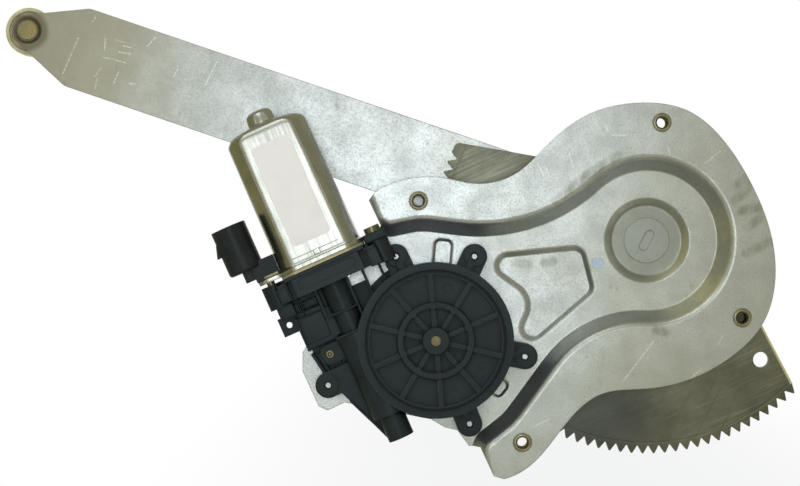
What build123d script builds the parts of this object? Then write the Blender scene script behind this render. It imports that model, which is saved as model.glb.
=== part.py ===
from build123d import *
import math
import os

# Electric single-arm window regulator. A pressed steel plate carries a pivot stud, and on the stud
# swing a toothed sector and a long lift arm with a roller at its tip. A motor with a worm gearbox
# is screwed to the plate, and its pinion turns the sector. Every piece is drawn about the pivot,
# x to the right along the plate, y up and z towards the motor, or in the motor's own frame,
# and is placed in the part's frame at the end. Lengths are millimetres and angles are degrees.

# Clearances
RUNNING_CLEARANCE = 0.05
SIDE_PLAY = 0.2
ASSEMBLY_CLEARANCE = 0.1
GEAR_BACKLASH = 0.2
JOIN_TOLERANCE = 0.005

# Sector gear and pinion
MODULE = 1.75
SECTOR_TEETH = 120
PINION_TEETH = 13
TOOTH_PRESSURE = 30.0
SECTOR_ADDENDUM = 1.0
PINION_ADDENDUM = 0.9
TOOTH_DEDENDUM = 1.15
FLANK_STEPS = 5
PINION_DIRECTION = 204.7
FIRST_TOOTH = -16
LAST_TOOTH = 36
SECTOR_THICKNESS = 3.0
SECTOR_HUB_RADIUS = 32.0
SECTOR_LOBE_TEETH = 0.87
SECTOR_LOBE_CORNER = 2.4
SECTOR_HOLE_RADIUS = 3.85
SECTOR_HOLE_DISTANCE = 83.1
SECTOR_HOLE_DIRECTION = -46.0

# Pressed plate
SHEET = 1.5
WALL_SLOPE = 30.0
PAN_DEPTH = 10.0
PAN_RADIUS = 35.0
PAN_CREASE = 1.0
PAN_SHOULDER = 4.0
PAN_END_CORNER = 2.0
UPPER_WAIST_RADIUS = 88.0
UPPER_WAIST_DIRECTION = 132.8
UPPER_BULGE_RADIUS = 30.0
UPPER_BULGE_DIRECTION = 256.4
UPPER_BULGE_SLACK = 0.8
UPPER_END_DIRECTION = 112.8
UPPER_END_SLACK = 0.8
UPPER_LIP_HEADING = 112.7
LOWER_WAIST_RADIUS = 58.0
LOWER_WAIST_DIRECTION = 267.5
LOWER_BULGE_RADIUS = 31.5
LOWER_BULGE_DIRECTION = 162.3
LOWER_BULGE_SLACK = 5.0
LOWER_END_DIRECTION = -64.8
LOWER_END_SLACK = 1.1
LOWER_LIP_HEADING = 102.9
DISH_DEPTH = 3.0
DISH_FLAT_RADIUS = 17.5
DISH_RIM_RADIUS = 21.1
DISH_EDGE_RADIUS = 24.0
DISH_ROUNDING = 1.2
POCKET_DEPTH = 2.0
POCKET_SLOPE = 50.0
POCKET_CORNER = 4.4
POCKET_CREASE = 0.8
POCKET_SHOULDER = 2.0
POCKET_WAIST = (-70.8, -32.6)
POCKET_WAIST_RADIUS = 12.8
POCKET_PLACES = [(-56.8, -43.4), (-33.1, -23.0), (-36.6, -9.4), (-69.1, -12.7)]
BEAD_DEPTH = 1.2
BEAD_WIDTH = 9.0
BEAD_CORNER = 2.2
BEAD_CREASE = 0.4
BEAD_SHOULDER = 1.7
BEAD_INNER_DISTANCE = 26.0
BEAD_OUTER_DISTANCES = (46.3, 41.0)
BEAD_DIRECTIONS = (84.7, -37.6)
MOTOR_HOLE_RADIUS = 16.0
# Outer edge of the flange about the pivot, clockwise from its upper left end
FLANGE_EDGE = [
    (-134.7, 24.7), (-122.7, 29.5), (-102.4, 31.0), (-86.9, 28.1), (-67.1, 32.3), (-50.3, 47.3),
    (-31.6, 61.5), (-4.8, 67.9), (19.9, 63.4), (36.4, 49.3), (48.8, 30.4), (59.5, 4.1),
    (62.0, -16.5), (55.4, -41.6), (40.2, -57.4), (20.9, -68.1), (-1.7, -73.2), (-24.3, -76.0),
    (-36.7, -85.1), (-58.2, -110.5), (-71.8, -117.7)]
LOWER_LIP_EDGE = [(-76.9, -116.2), (-83.3, -102.4)]
# Edge of the motor platform about the pinion axis, clockwise from the lower lip to the upper one
PLATFORM_EDGE = [
    (16.9, -53.7), (11.2, -46.0), (4.9, -44.5), (-1.9, -40.5), (-44.9, -32.1), (-53.4, -36.1),
    (-57.9, -34.1), (-65.9, -16.6), (-65.9, -7.1), (-26.9, 55.9), (-32.8, 68.4)]

# Fixing nuts pressed into the flange, thread M6
NUT_PLACES = [(6.1, 58.1), (45.7, -38.2), (-62.7, -99.7), (-114.0, 19.5)]
NUT_BORE_RADIUS = 2.5
NUT_SPIGOT_RADIUS = 4.6
NUT_COLLAR_RADIUS = 6.5
NUT_BARREL_RADIUS = 5.0
NUT_PROUD = 0.4
NUT_COLLAR = 1.5
NUT_LENGTH = 9.0
NUT_CHAMFER = 0.3

# Pivot
STUD_RADIUS = 7.0
STUD_HEAD_RADIUS = 11.3
STUD_HEAD = 1.4
STUD_SLOT_WIDTH = 4.3
STUD_SLOT_LENGTH = 11.0
STUD_SLOT_DEPTH = 0.9
STUD_SLOT_DIRECTION = 62.0
STUD_TAIL_RADIUS = 5.0
STUD_RIVET_RADIUS = 6.5
STUD_RIVET = 0.8
PIVOT_WASHER = 0.8
PIVOT_WASHER_RADIUS = 16.0
PIVOT_BUSH_WALL = 2.0
RETAINER_RADIUS = 13.0
RETAINER_THICKNESS = 2.0

# Lift arm and roller
ARM_LENGTH = 328.0
ARM_DIRECTION = 161.2
ARM_WIDTH = 41.0
ARM_THICKNESS = 3.0
ARM_TAPER_LENGTH = 27.7
ARM_TIP_OVERHANG = 6.8
ARM_TIP_WIDTH = 12.6
ARM_TAPER_CORNER = 6.0
ARM_TIP_CORNER = 2.0
ARM_DIMPLE_DEPTH = 1.3
ARM_DIMPLE_FLAT_RADIUS = 5.4
ARM_DIMPLE_RIM_RADIUS = 7.2
ARM_DIMPLE_EDGE_RADIUS = 7.9
ARM_DIMPLE_ROUNDING = 0.5
ARM_RIVET_DISTANCES = (34.0, 53.0, 72.0)
ARM_RIVET_RADIUS = 3.0
ARM_RIVET_HEAD_RADIUS = 5.0
ARM_RIVET_HEAD = 1.0
ROLLER_RADIUS = 12.0
ROLLER_WIDTH = 11.0
ROLLER_EDGE = 1.2
ROLLER_GROOVE_DEPTH = 1.0
ROLLER_GROOVE_RADII = (6.5, 10.0)
ROLLER_AXLE_RADIUS = 4.5
ROLLER_NECK_RADIUS = 3.0
ROLLER_STUD_HEAD_RADIUS = 4.6
ROLLER_STUD_HEAD = 1.2
ROLLER_CAP_RADIUS = 7.0
ROLLER_CAP = 2.0

# Worm gear
WORM_HEIGHT = 14.0
WORM_MODULE = 1.0
WORM_TURNS = 7
WORM_PITCH_RADIUS = 5.6
WORM_ADDENDUM = 0.95
WORM_DEDENDUM = 1.25
WORM_PRESSURE = 20.0
WORM_THICKNESS = 1.3
JOIN_OVERLAP = 0.3
WORM_COLLAR = 2.5
WHEEL_TEETH = 58
WHEEL_ADDENDUM = 1.0
WHEEL_DEDENDUM = 1.2
WHEEL_WIDTH = 8.0
WHEEL_WEB = 2.0
WHEEL_POCKET_RADIUS = 23.0
WHEEL_HUB_RADIUS = 8.0
COUPLING_DOGS = 3
DOG_WIDTH = 4.0
DRIVER_THICKNESS = 2.2

# Motor
MOTOR_ANGLE = -66.05
SHAFT_RADIUS = 3.0
SHAFT_START = -136.5
SHAFT_END = 34.0
CAN_START = -128.0
CAN_END = -60.5
CAN_RADIUS = 20.5
CAN_FLAT = 15.5
CAN_WALL = 2.0
CAN_ROUNDING = 5.0
CAN_BOSS_RADIUS = 6.7
CAN_BOSS_START = -138.0
CAN_BOSS_ROUNDING = 2.0
CAN_FLANGE = 2.0
CAN_FLANGE_OVERHANG = 2.5
BRUSH_CARD = 1.5
BRUSH_CARD_OVERHANG = 1.5
BRUSH_CARD_GAP = 1.4
EAR_DISTANCE = 28.0
EAR_RADIUS = 5.5
CAN_SCREW_RADIUS = 2.0
CAN_SCREW_HEAD_RADIUS = 4.0
CAN_SCREW_HEAD = 3.0
CAN_SCREW_SLOT = 1.0
CAN_SCREW_LENGTH = 12.0
BUSH_WALL = 2.0
CAN_BUSH = (-137.0, -129.0)
HOUSING_BUSH = (-44.0, -36.0)
END_BUSH = (24.0, 33.0)
THRUST_GAP = 0.3
MAGNET_SPAN = (-122.0, -78.0)
MAGNET_THICKNESS = 4.4
MAGNET_ARC = 110.0
CORE_SPAN = (-118.0, -82.0)
AIR_GAP = 0.7
CORE_SLOTS = 8
CORE_SLOT_WIDTH = 2.4
CORE_SLOT_DEPTH = 7.0
WINDING_OVERHANG = 6.0
WINDING_RADIUS = 11.0
COMMUTATOR_SPAN = (-73.0, -61.0)
COMMUTATOR_RADIUS = 7.0
COMMUTATOR_BARS = 8
COMMUTATOR_SLIT = 0.5
COMMUTATOR_SLIT_DEPTH = 0.8
BRUSH_LENGTH = 5.0
BRUSH_WIDTH = 5.0
BRUSH_SPAN = (-70.0, -64.0)
BRUSH_SPRING_LENGTH = 3.5
BRUSH_SPRING_RADIUS = 2.0
BRUSH_SPRING_BORE = 1.2
BRUSH_BOX_WALL = 1.0
LABEL_WIDTH = 20.0
LABEL_LENGTH = 51.6
LABEL_CORNER = 2.0
LABEL_THICKNESS = 0.2
LABEL_CENTRE = -95.0

# Gearbox housing and cover
POT_RADIUS = 38.0
POT_CAVITY_RADIUS = 31.5
POT_FLOOR = -7.5
POT_RIM = 9.8
POT_LEDGE = 7.4
COVER_RADIUS = 34.0
COVER_SEAL = 0.8
COVER_SEAL_WIDTH = 1.8
COVER_PLATE = 2.6
COVER_RIB_HEIGHT = 2.4
COVER_RIB_WIDTH = 2.2
COVER_RIBS = 10
COVER_RIB_DIRECTION = 95.0
COVER_RIM_WIDTH = 1.8
COVER_RING_RADII = (16.1, 18.9)
COVER_WELL_DEPTH = 1.0
COVER_HUB_RADIUS = 6.8
COVER_HUB_HEIGHT = 4.0
COVER_MARK_RADIUS = 2.6
COVER_MARK_DEPTH = 0.5
COVER_MARK_DISTANCE = 26.0
COVER_MARK_DIRECTIONS = (77.0, -29.0)
SPIGOT_LENGTH = 3.0
TUNNEL_RADIUS = 9.2
TUNNEL_SPAN = (-20.0, 24.0)
TUNNEL_BORE_GAP = 0.4
TUNNEL_BORE_SPAN = (-18.0, 22.0)
END_TUBE_RADIUS = 6.5
END_TUBE_END = 37.0
NECK_RADIUS = 6.8
NECK_STEP = -31.8
NECK_BASE = -6.0
NECK_FRAME = 1.2
NECK_FRAME_TOP = 3.0
NECK_FRAME_SIDES = (-9.5, 7.0)
RIB_SIDES = (15.5, 24.2)
RIB_TOP = -3.0
SKIRT_RADIUS = 41.0
SKIRT_TOP = -9.0
RIB_FLOOR_START = -40.5
WEB_TOP = -8.0
BLOCK_END = -46.0
BLOCK_HALF_WIDTH = 21.0
BLOCK_FRONT = 16.0
BLOCK_CORNER = 2.0
BLOCK_POCKET_DEPTH = 7.0
BLOCK_POCKET_RADIUS = 12.0
BLOCK_PANEL_LENGTH = 30.0
BLOCK_PANEL_WIDTH = 5.0
BLOCK_PANEL_DEPTH = 0.4
COLUMN_END = -45.0
COLUMN_WEB = 6.0
COLUMN_SPAN = (20.5, 25.5)
COLUMN_START = -55.0
COLUMN_FRONT = 12.0
BLOCK_SLOT = (17.5, 20.5)
BLOCK_SLOT_DEPTH = 9.0
FLOOR_GAP = 0.3
LUG_CIRCLE = 45.0
LUG_RADIUS = 6.3
LUG_TOP = -3.0
LUG_BOSS_RADIUS = 5.0
LUG_BOSS = 1.0
LUG_NECK_WIDTH = 4.0
LUG_DIRECTIONS = (115.5, 64.6, -11.0, -68.0)
SIDE_LUG = (-0.6, -22.8)
PANEL_SPAN_U = (-36.3, -21.5)
PANEL_SPAN_V = (-23.2, -6.0)
PANEL_TOP = 1.0
PANEL_BACK = -4.0
PAD_PLACE = (-14.2, -15.9)
PAD_RADIUS = 5.0
PAD_HOLE_RADIUS = 2.0
PAD_TOP = -4.0
TAB_PLACE = (-35.3, -28.8)
TAB_LENGTH = 9.6
TAB_WIDTH = 9.0
TAB_THICKNESS = 2.5
TAB_HOLE_RADIUS = 1.5
GUSSET_THICKNESS = 3.0
GUSSET_START = 3.0
GUSSET_SIDES = (-19.2, -5.8)

# Motor screws, thread M4
MOTOR_SCREW_RADIUS = 2.0
MOTOR_SCREW_HEAD_RADIUS = 4.2
MOTOR_SCREW_HEAD = 1.8
MOTOR_SCREW_RECESS = 0.8
MOTOR_SCREW_TIP = 0.7
MOTOR_SCREW_SOCKET_RADIUS = 1.8
MOTOR_SCREW_SOCKET_DEPTH = 1.0
PLATE_SCREW_CLEARANCE = 0.3

# Output shaft
OUTPUT_RADIUS = 4.0
OUTPUT_JOURNAL_RADIUS = 2.4
OUTPUT_PROUD = 0.3
OUTPUT_BUSH_WALL = 2.0
SHAFT_SEAL = 1.8
SHAFT_SEAL_GAP = 0.3
PINION_FRONT_GAP = 0.8
PINION_BACK_GAP = 0.5
CIRCLIP_THICKNESS = 0.8
CIRCLIP_WIDTH = 2.0
CIRCLIP_DEPTH = 0.6
CIRCLIP_OPENING = 3.0

# Electrical connector
CONNECTOR_SPAN = (-91.6, -68.0)
CONNECTOR_SIDE = -36.2
CONNECTOR_RADIUS = 8.8
CONNECTOR_WALL = 1.4
CONNECTOR_SOCKET_DEPTH = 17.0
CONNECTOR_ROUNDING = 1.5
CONNECTOR_BRACKET_LENGTH = 10.2
CONNECTOR_BRACKET_SIDES = (-33.5, -21.4)
CONNECTOR_BRACKET_HEIGHT = 10.0
CONNECTOR_FOOT_LENGTH = 5.5
CONNECTOR_FOOT_WIDTH = 5.0
CONNECTOR_FOOT_HEIGHT = 8.0
CONNECTOR_LATCH_SPAN = (-85.5, -79.0)
CONNECTOR_LATCH_HEIGHT = 2.0
CONNECTOR_LATCH_WIDTH = 5.0
TERMINAL_COUNT = 2
TERMINAL_PITCH = 6.0
TERMINAL_WIDTH = 2.8
TERMINAL_THICKNESS = 0.8
TERMINAL_LENGTH = 11.0
TERMINAL_ROOT = 3.0

# Depths of the stack, all along z from the front face of the flange
FLOOR_FRONT = -PAN_DEPTH
FLOOR_BACK = FLOOR_FRONT - SHEET
DISH_FRONT = FLOOR_FRONT - DISH_DEPTH
DISH_BACK = DISH_FRONT - SHEET
SECTOR_FRONT = DISH_BACK - PIVOT_WASHER - SIDE_PLAY
SECTOR_BACK = SECTOR_FRONT - SECTOR_THICKNESS
ARM_BACK = SECTOR_BACK - ARM_THICKNESS
WORM_LEVEL = FLOOR_FRONT + WORM_HEIGHT
MOTOR_SEAT = -WORM_HEIGHT

# Gear layout
SECTOR_PITCH = 360 / SECTOR_TEETH
SECTOR_PITCH_RADIUS = MODULE * SECTOR_TEETH / 2
PINION_PITCH_RADIUS = MODULE * PINION_TEETH / 2
GEAR_DISTANCE = SECTOR_PITCH_RADIUS + PINION_PITCH_RADIUS
WORM_LEAD = math.pi * WORM_MODULE
WHEEL_PITCH_RADIUS = WORM_MODULE * WHEEL_TEETH / 2
WORM_DISTANCE = WHEEL_PITCH_RADIUS + WORM_PITCH_RADIUS
BUSH_RADIUS = SHAFT_RADIUS + RUNNING_CLEARANCE + BUSH_WALL
CAVITY_TOP = POT_LEDGE + COVER_SEAL
COVER_TOP = CAVITY_TOP + COVER_PLATE
HUB_TOP = COVER_TOP + COVER_HUB_HEIGHT
CARD_END = CAN_END + CAN_FLANGE
BLOCK_START = CARD_END + BRUSH_CARD


def polar(distance, direction, centre=(0.0, 0.0)):
    """Point at a distance and direction from a centre."""
    turn = math.radians(direction)
    return centre[0] + distance * math.cos(turn), centre[1] + distance * math.sin(turn)


PINION_AXIS = polar(GEAR_DISTANCE, PINION_DIRECTION)
MOTOR_FOOT = polar(WORM_DISTANCE, MOTOR_ANGLE - 90, PINION_AXIS)
WHEEL_AXIS = (0.0, WORM_DISTANCE)
MOTOR_FRAME = Plane(
    origin=(*MOTOR_FOOT, WORM_LEVEL), x_dir=(*polar(1, MOTOR_ANGLE), 0), z_dir=(0, 0, 1)).location
ACROSS = Plane(origin=(0, 0, 0), x_dir=(0, 1, 0), z_dir=(1, 0, 0))


def disc(radius, bottom, top, centre=(0.0, 0.0)):
    """Cylinder standing along z between two heights."""
    base = (Align.CENTER, Align.CENTER, Align.MIN)
    return Pos(*centre, bottom) * Cylinder(radius, top - bottom, align=base)


def ring(outer, inner, bottom, top, centre=(0.0, 0.0)):
    """Tube standing along z between two heights."""
    return disc(outer, bottom, top, centre) - disc(inner, bottom, top, centre)


def rod(radius, start, end, side=0.0, height=0.0):
    """Cylinder lying along x between two stations."""
    base = (Align.CENTER, Align.CENTER, Align.MIN)
    return Pos(start, side, height) * Rot(0, 90, 0) * Cylinder(radius, end - start, align=base)


def sleeve(outer, inner, start, end, side=0.0, height=0.0):
    """Tube lying along x between two stations."""
    return rod(outer, start, end, side, height) - rod(inner, start, end, side, height)


def brick(span_x, span_y, span_z):
    """Box between two limits on each axis."""
    low = (Align.MIN, Align.MIN, Align.MIN)
    size = [span[1] - span[0] for span in (span_x, span_y, span_z)]
    return Pos(span_x[0], span_y[0], span_z[0]) * Box(*size, align=low)


def slab(face, bottom, top):
    """Flat outline raised between two heights."""
    return Pos(0, 0, bottom) * extrude(face, top - bottom, dir=(0, 0, 1))


def belt(circles, grow=0.0):
    """Smooth loop round signed circles, inside to the left; negative ones are passed clockwise."""
    rounds = [(x, y, radius + grow) for x, y, radius in circles]
    headings = []
    for (x0, y0, r0), (x1, y1, r1) in zip(rounds, rounds[1:] + rounds[:1]):
        ratio = (r1 - r0) / math.hypot(x1 - x0, y1 - y0)
        headings.append(math.atan2(y1 - y0, x1 - x0) - math.asin(max(-1.0, min(1.0, ratio))))
    edges = []
    for index, (x, y, radius) in enumerate(rounds):
        arrive = math.degrees(headings[index - 1])
        turn = (math.degrees(headings[index]) - arrive) % 360
        if radius < 0:
            turn -= 360
        side = arrive - math.copysign(90, radius)
        edges.append(CenterArc((x, y), abs(radius), side, turn))
    joined = []
    for edge, after in zip(edges, edges[1:] + edges[:1]):
        joined.append(edge)
        if (edge @ 1 - after @ 0).length > JOIN_TOLERANCE:
            joined.append(Line(edge @ 1, after @ 0))
    return joined


def loop_face(circles, grow=0.0):
    """Face inside a belt."""
    return make_face(belt(circles, grow))


def wall_run(depth, slope=WALL_SLOPE):
    """Distance that a pressed wall spreads over its depth."""
    return depth * math.tan(math.radians(slope))


def wall_section(depth, crease, shoulder, slope):
    """Section of a pressed wall: x outwards from the floor's edge, y down from the upper face."""
    lean = math.radians(slope)
    shift = SHEET * (1 - math.sin(lean)) / math.cos(lean)
    run = wall_run(depth, slope)
    inner, outer = -crease - SHEET, run + shoulder
    upper = FilletPolyline(
        (inner, depth), (0, depth), (run, 0), (outer, 0), radius=[crease, shoulder])
    lower = FilletPolyline(
        (inner, depth + SHEET), (shift, depth + SHEET), (run + shift, SHEET),
        (outer, SHEET), radius=[crease + SHEET, shoulder - SHEET])
    return make_face([upper, Line(upper @ 1, lower @ 1), lower, Line(lower @ 0, upper @ 0)])


def pressing(circles, level, depth, crease, shoulder, slope=WALL_SLOPE):
    """Sheet pressed down from a level inside a belt, and the opening that it fills there."""
    section = wall_section(depth, crease, shoulder, slope)
    floor = slab(loop_face(circles, -crease - SHEET), -depth - SHEET, -depth)
    walls = []
    for edge in belt(circles):
        heading = edge % 0
        side = heading.cross(Vector(0, 0, 1))
        walls.append(sweep(Plane(origin=edge @ 0, x_dir=side, z_dir=heading) * section, path=edge))
    opening = slab(loop_face(circles, wall_run(depth, slope) + shoulder), level - SHEET, level)
    return Pos(0, 0, level) * (floor + walls), opening


def dished_disc(level, depth, thickness, bore, flat, rim, edge, rounding):
    """Round sheet with a sunken flat middle."""
    upper = FilletPolyline((bore, -depth), (flat, -depth), (rim, 0), (edge, 0), radius=rounding)
    lower = Pos(0, -thickness) * upper
    section = make_face([upper, Line(upper @ 1, lower @ 1), lower, Line(lower @ 0, upper @ 0)])
    return Pos(0, 0, level) * revolve(Plane.XZ * section, Axis.Z)


def tooth_half_angle(radius, module, teeth):
    """Half the angle in radians that an involute tooth spans at a radius."""
    pitch_radius = module * teeth / 2
    pressure = math.radians(TOOTH_PRESSURE)
    base = pitch_radius * math.cos(pressure)
    local = math.acos(base / max(radius, base))
    at_pitch = math.pi / (2 * teeth) - GEAR_BACKLASH / (4 * pitch_radius)
    return at_pitch + math.tan(pressure) - pressure - math.tan(local) + local


def tooth_flank(module, teeth, addendum, side):
    """Polar points of one flank from root to tip, as radius and angle from the tooth's middle."""
    pitch_radius = module * teeth / 2
    low, high = pitch_radius - TOOTH_DEDENDUM * module, pitch_radius + addendum * module
    radii = [low + (high - low) * step / FLANK_STEPS for step in range(FLANK_STEPS + 1)]
    return [(r, side * math.degrees(tooth_half_angle(r, module, teeth))) for r in radii]


def tooth_points(module, teeth, addendum, middle):
    """Outline of one tooth, counter-clockwise round its gear."""
    rising = tooth_flank(module, teeth, addendum, -1)
    falling = tooth_flank(module, teeth, addendum, 1)[::-1]
    return [polar(radius, middle + angle) for radius, angle in rising + falling]


def pan_circles():
    """Circles that the pan's floor edge runs round, each placed from the one before it."""
    end = wall_run(PAN_DEPTH) + PAN_SHOULDER + PAN_END_CORNER
    upper_waist = polar(PAN_RADIUS + UPPER_WAIST_RADIUS, UPPER_WAIST_DIRECTION)
    upper_bulge = polar(
        UPPER_WAIST_RADIUS + UPPER_BULGE_RADIUS + UPPER_BULGE_SLACK, UPPER_BULGE_DIRECTION, upper_waist)
    upper_end = polar(UPPER_BULGE_RADIUS + end + UPPER_END_SLACK, UPPER_END_DIRECTION, upper_bulge)
    lower_waist = polar(PAN_RADIUS + LOWER_WAIST_RADIUS, LOWER_WAIST_DIRECTION)
    lower_bulge = polar(
        LOWER_WAIST_RADIUS + LOWER_BULGE_RADIUS + LOWER_BULGE_SLACK, LOWER_BULGE_DIRECTION, lower_waist)
    lower_end = polar(LOWER_BULGE_RADIUS + end + LOWER_END_SLACK, LOWER_END_DIRECTION, lower_bulge)
    inset = PAN_RADIUS + end
    far_top = polar(inset, UPPER_LIP_HEADING + 90, polar(GEAR_DISTANCE, UPPER_LIP_HEADING, upper_end))
    far_low = polar(inset, LOWER_LIP_HEADING + 90, polar(-GEAR_DISTANCE, LOWER_LIP_HEADING, lower_end))
    far_left = (PINION_AXIS[0] - GEAR_DISTANCE, PINION_AXIS[1])
    return [
        (0, 0, PAN_RADIUS), (*upper_waist, -UPPER_WAIST_RADIUS), (*upper_bulge, UPPER_BULGE_RADIUS),
        (*upper_end, -end), (*far_top, PAN_RADIUS), (*far_left, PAN_RADIUS),
        (*far_low, PAN_RADIUS), (*lower_end, -end), (*lower_bulge, LOWER_BULGE_RADIUS),
        (*lower_waist, -LOWER_WAIST_RADIUS)]


def pocket_circles():
    """Circles round the stiffening pocket between the pivot and the pinion, waisted on its left."""
    corners = [(*place, POCKET_CORNER) for place in POCKET_PLACES]
    return corners + [(*POCKET_WAIST, -POCKET_WAIST_RADIUS)]


def bead_circles(direction, outer):
    """Circles round a straight stiffening bead that runs out from the pinion axis."""
    half = BEAD_WIDTH / 2 - wall_run(BEAD_DEPTH) - BEAD_CORNER
    corners = [(BEAD_INNER_DISTANCE, -half), (outer, -half), (outer, half), (BEAD_INNER_DISTANCE, half)]
    placed = []
    for along, side in corners:
        foot = polar(along, direction, PINION_AXIS)
        placed.append((*polar(side, direction + 90, foot), BEAD_CORNER))
    return placed


def lug_places():
    """Screw lugs of the gearbox in the motor's frame."""
    around = [polar(LUG_CIRCLE, angle - MOTOR_ANGLE, WHEEL_AXIS) for angle in LUG_DIRECTIONS]
    return around + [SIDE_LUG]


def plate_screw_places():
    """The same lugs about the pivot."""
    axis_u, axis_v = polar(1, MOTOR_ANGLE), polar(1, MOTOR_ANGLE + 90)
    return [
        (MOTOR_FOOT[0] + u * axis_u[0] + v * axis_v[0], MOTOR_FOOT[1] + u * axis_u[1] + v * axis_v[1])
        for u, v in lug_places()]


def mounting_plate():
    """Flange, recessed pan, pivot dish, pocket and beads of one pressed sheet, cut to its outline."""
    platform = [(PINION_AXIS[0] + x, PINION_AXIS[1] + y) for x, y in PLATFORM_EDGE]
    flange_edge = Spline(*FLANGE_EDGE)
    rest = Polyline(FLANGE_EDGE[-1], *LOWER_LIP_EDGE, *platform, FLANGE_EDGE[0])
    outline = make_face([flange_edge, rest])
    blank = slab(outline, -SHEET, 0)
    pan, opening = pressing(pan_circles(), 0, PAN_DEPTH, PAN_CREASE, PAN_SHOULDER)
    pocket, pocket_opening = pressing(
        pocket_circles(), FLOOR_FRONT, POCKET_DEPTH, POCKET_CREASE, POCKET_SHOULDER, POCKET_SLOPE)
    pan = pan - pocket_opening + pocket
    for direction, outer in zip(BEAD_DIRECTIONS, BEAD_OUTER_DISTANCES):
        bead, bead_opening = pressing(
            bead_circles(direction, outer), FLOOR_FRONT, BEAD_DEPTH, BEAD_CREASE, BEAD_SHOULDER)
        pan = pan - bead_opening + bead
    pan -= disc(DISH_EDGE_RADIUS, FLOOR_BACK, FLOOR_FRONT)
    pan += dished_disc(
        FLOOR_FRONT, DISH_DEPTH, SHEET, STUD_RADIUS, DISH_FLAT_RADIUS, DISH_RIM_RADIUS,
        DISH_EDGE_RADIUS, DISH_ROUNDING)
    plate = blank - opening + (pan & slab(outline, DISH_BACK, 0))
    cuts = [disc(NUT_SPIGOT_RADIUS, -SHEET, 0, place) for place in NUT_PLACES]
    cuts.append(disc(MOTOR_HOLE_RADIUS, DISH_BACK, FLOOR_FRONT, PINION_AXIS))
    hole = MOTOR_SCREW_RADIUS + PLATE_SCREW_CLEARANCE
    cuts += [disc(hole, DISH_BACK, FLOOR_FRONT, place) for place in plate_screw_places()]
    return plate - cuts


def fixing_nuts():
    """Threaded press nuts, each with a spigot through the flange and a collar behind it."""
    nut = disc(NUT_SPIGOT_RADIUS, -SHEET, NUT_PROUD) + disc(NUT_COLLAR_RADIUS, -SHEET - NUT_COLLAR, -SHEET)
    nut += disc(NUT_BARREL_RADIUS, -NUT_LENGTH, -SHEET)
    nut -= disc(NUT_BORE_RADIUS, -NUT_LENGTH, NUT_PROUD)
    mouth = nut.edges().filter_by(GeomType.CIRCLE).group_by(Axis.Z)[-1].sort_by(SortBy.RADIUS)[0]
    nut = chamfer(mouth, NUT_CHAMFER)
    return Part() + [Pos(*place, 0) * nut for place in NUT_PLACES]


def pivot_stud():
    """Headed pivot pin, riveted into the dish, with a slot across its head."""
    stud = disc(STUD_HEAD_RADIUS, DISH_FRONT, DISH_FRONT + STUD_HEAD)
    shoulder = ARM_BACK - SIDE_PLAY
    tail = shoulder - RETAINER_THICKNESS
    stud += disc(STUD_RADIUS, shoulder, DISH_FRONT) + disc(STUD_TAIL_RADIUS, tail, shoulder)
    stud += disc(STUD_RIVET_RADIUS, tail - STUD_RIVET, tail)
    slot = slab(SlotOverall(STUD_SLOT_LENGTH, STUD_SLOT_WIDTH), -STUD_SLOT_DEPTH, 0)
    return stud - Pos(0, 0, DISH_FRONT + STUD_HEAD) * Rot(0, 0, STUD_SLOT_DIRECTION) * slot


def pivot_washer():
    """Thrust washer between the dish and the sector."""
    return ring(PIVOT_WASHER_RADIUS, STUD_RADIUS, DISH_BACK - PIVOT_WASHER, DISH_BACK)


def pivot_retainer():
    """Plate on the tail of the stud that keeps the arm on."""
    top = ARM_BACK - SIDE_PLAY
    return ring(RETAINER_RADIUS, STUD_TAIL_RADIUS, top - RETAINER_THICKNESS, top)


def pivot_bush():
    """Plain bearing in the sector and the arm."""
    bore = STUD_RADIUS + RUNNING_CLEARANCE
    return ring(bore + PIVOT_BUSH_WALL, bore, ARM_BACK, SECTOR_FRONT)


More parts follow.
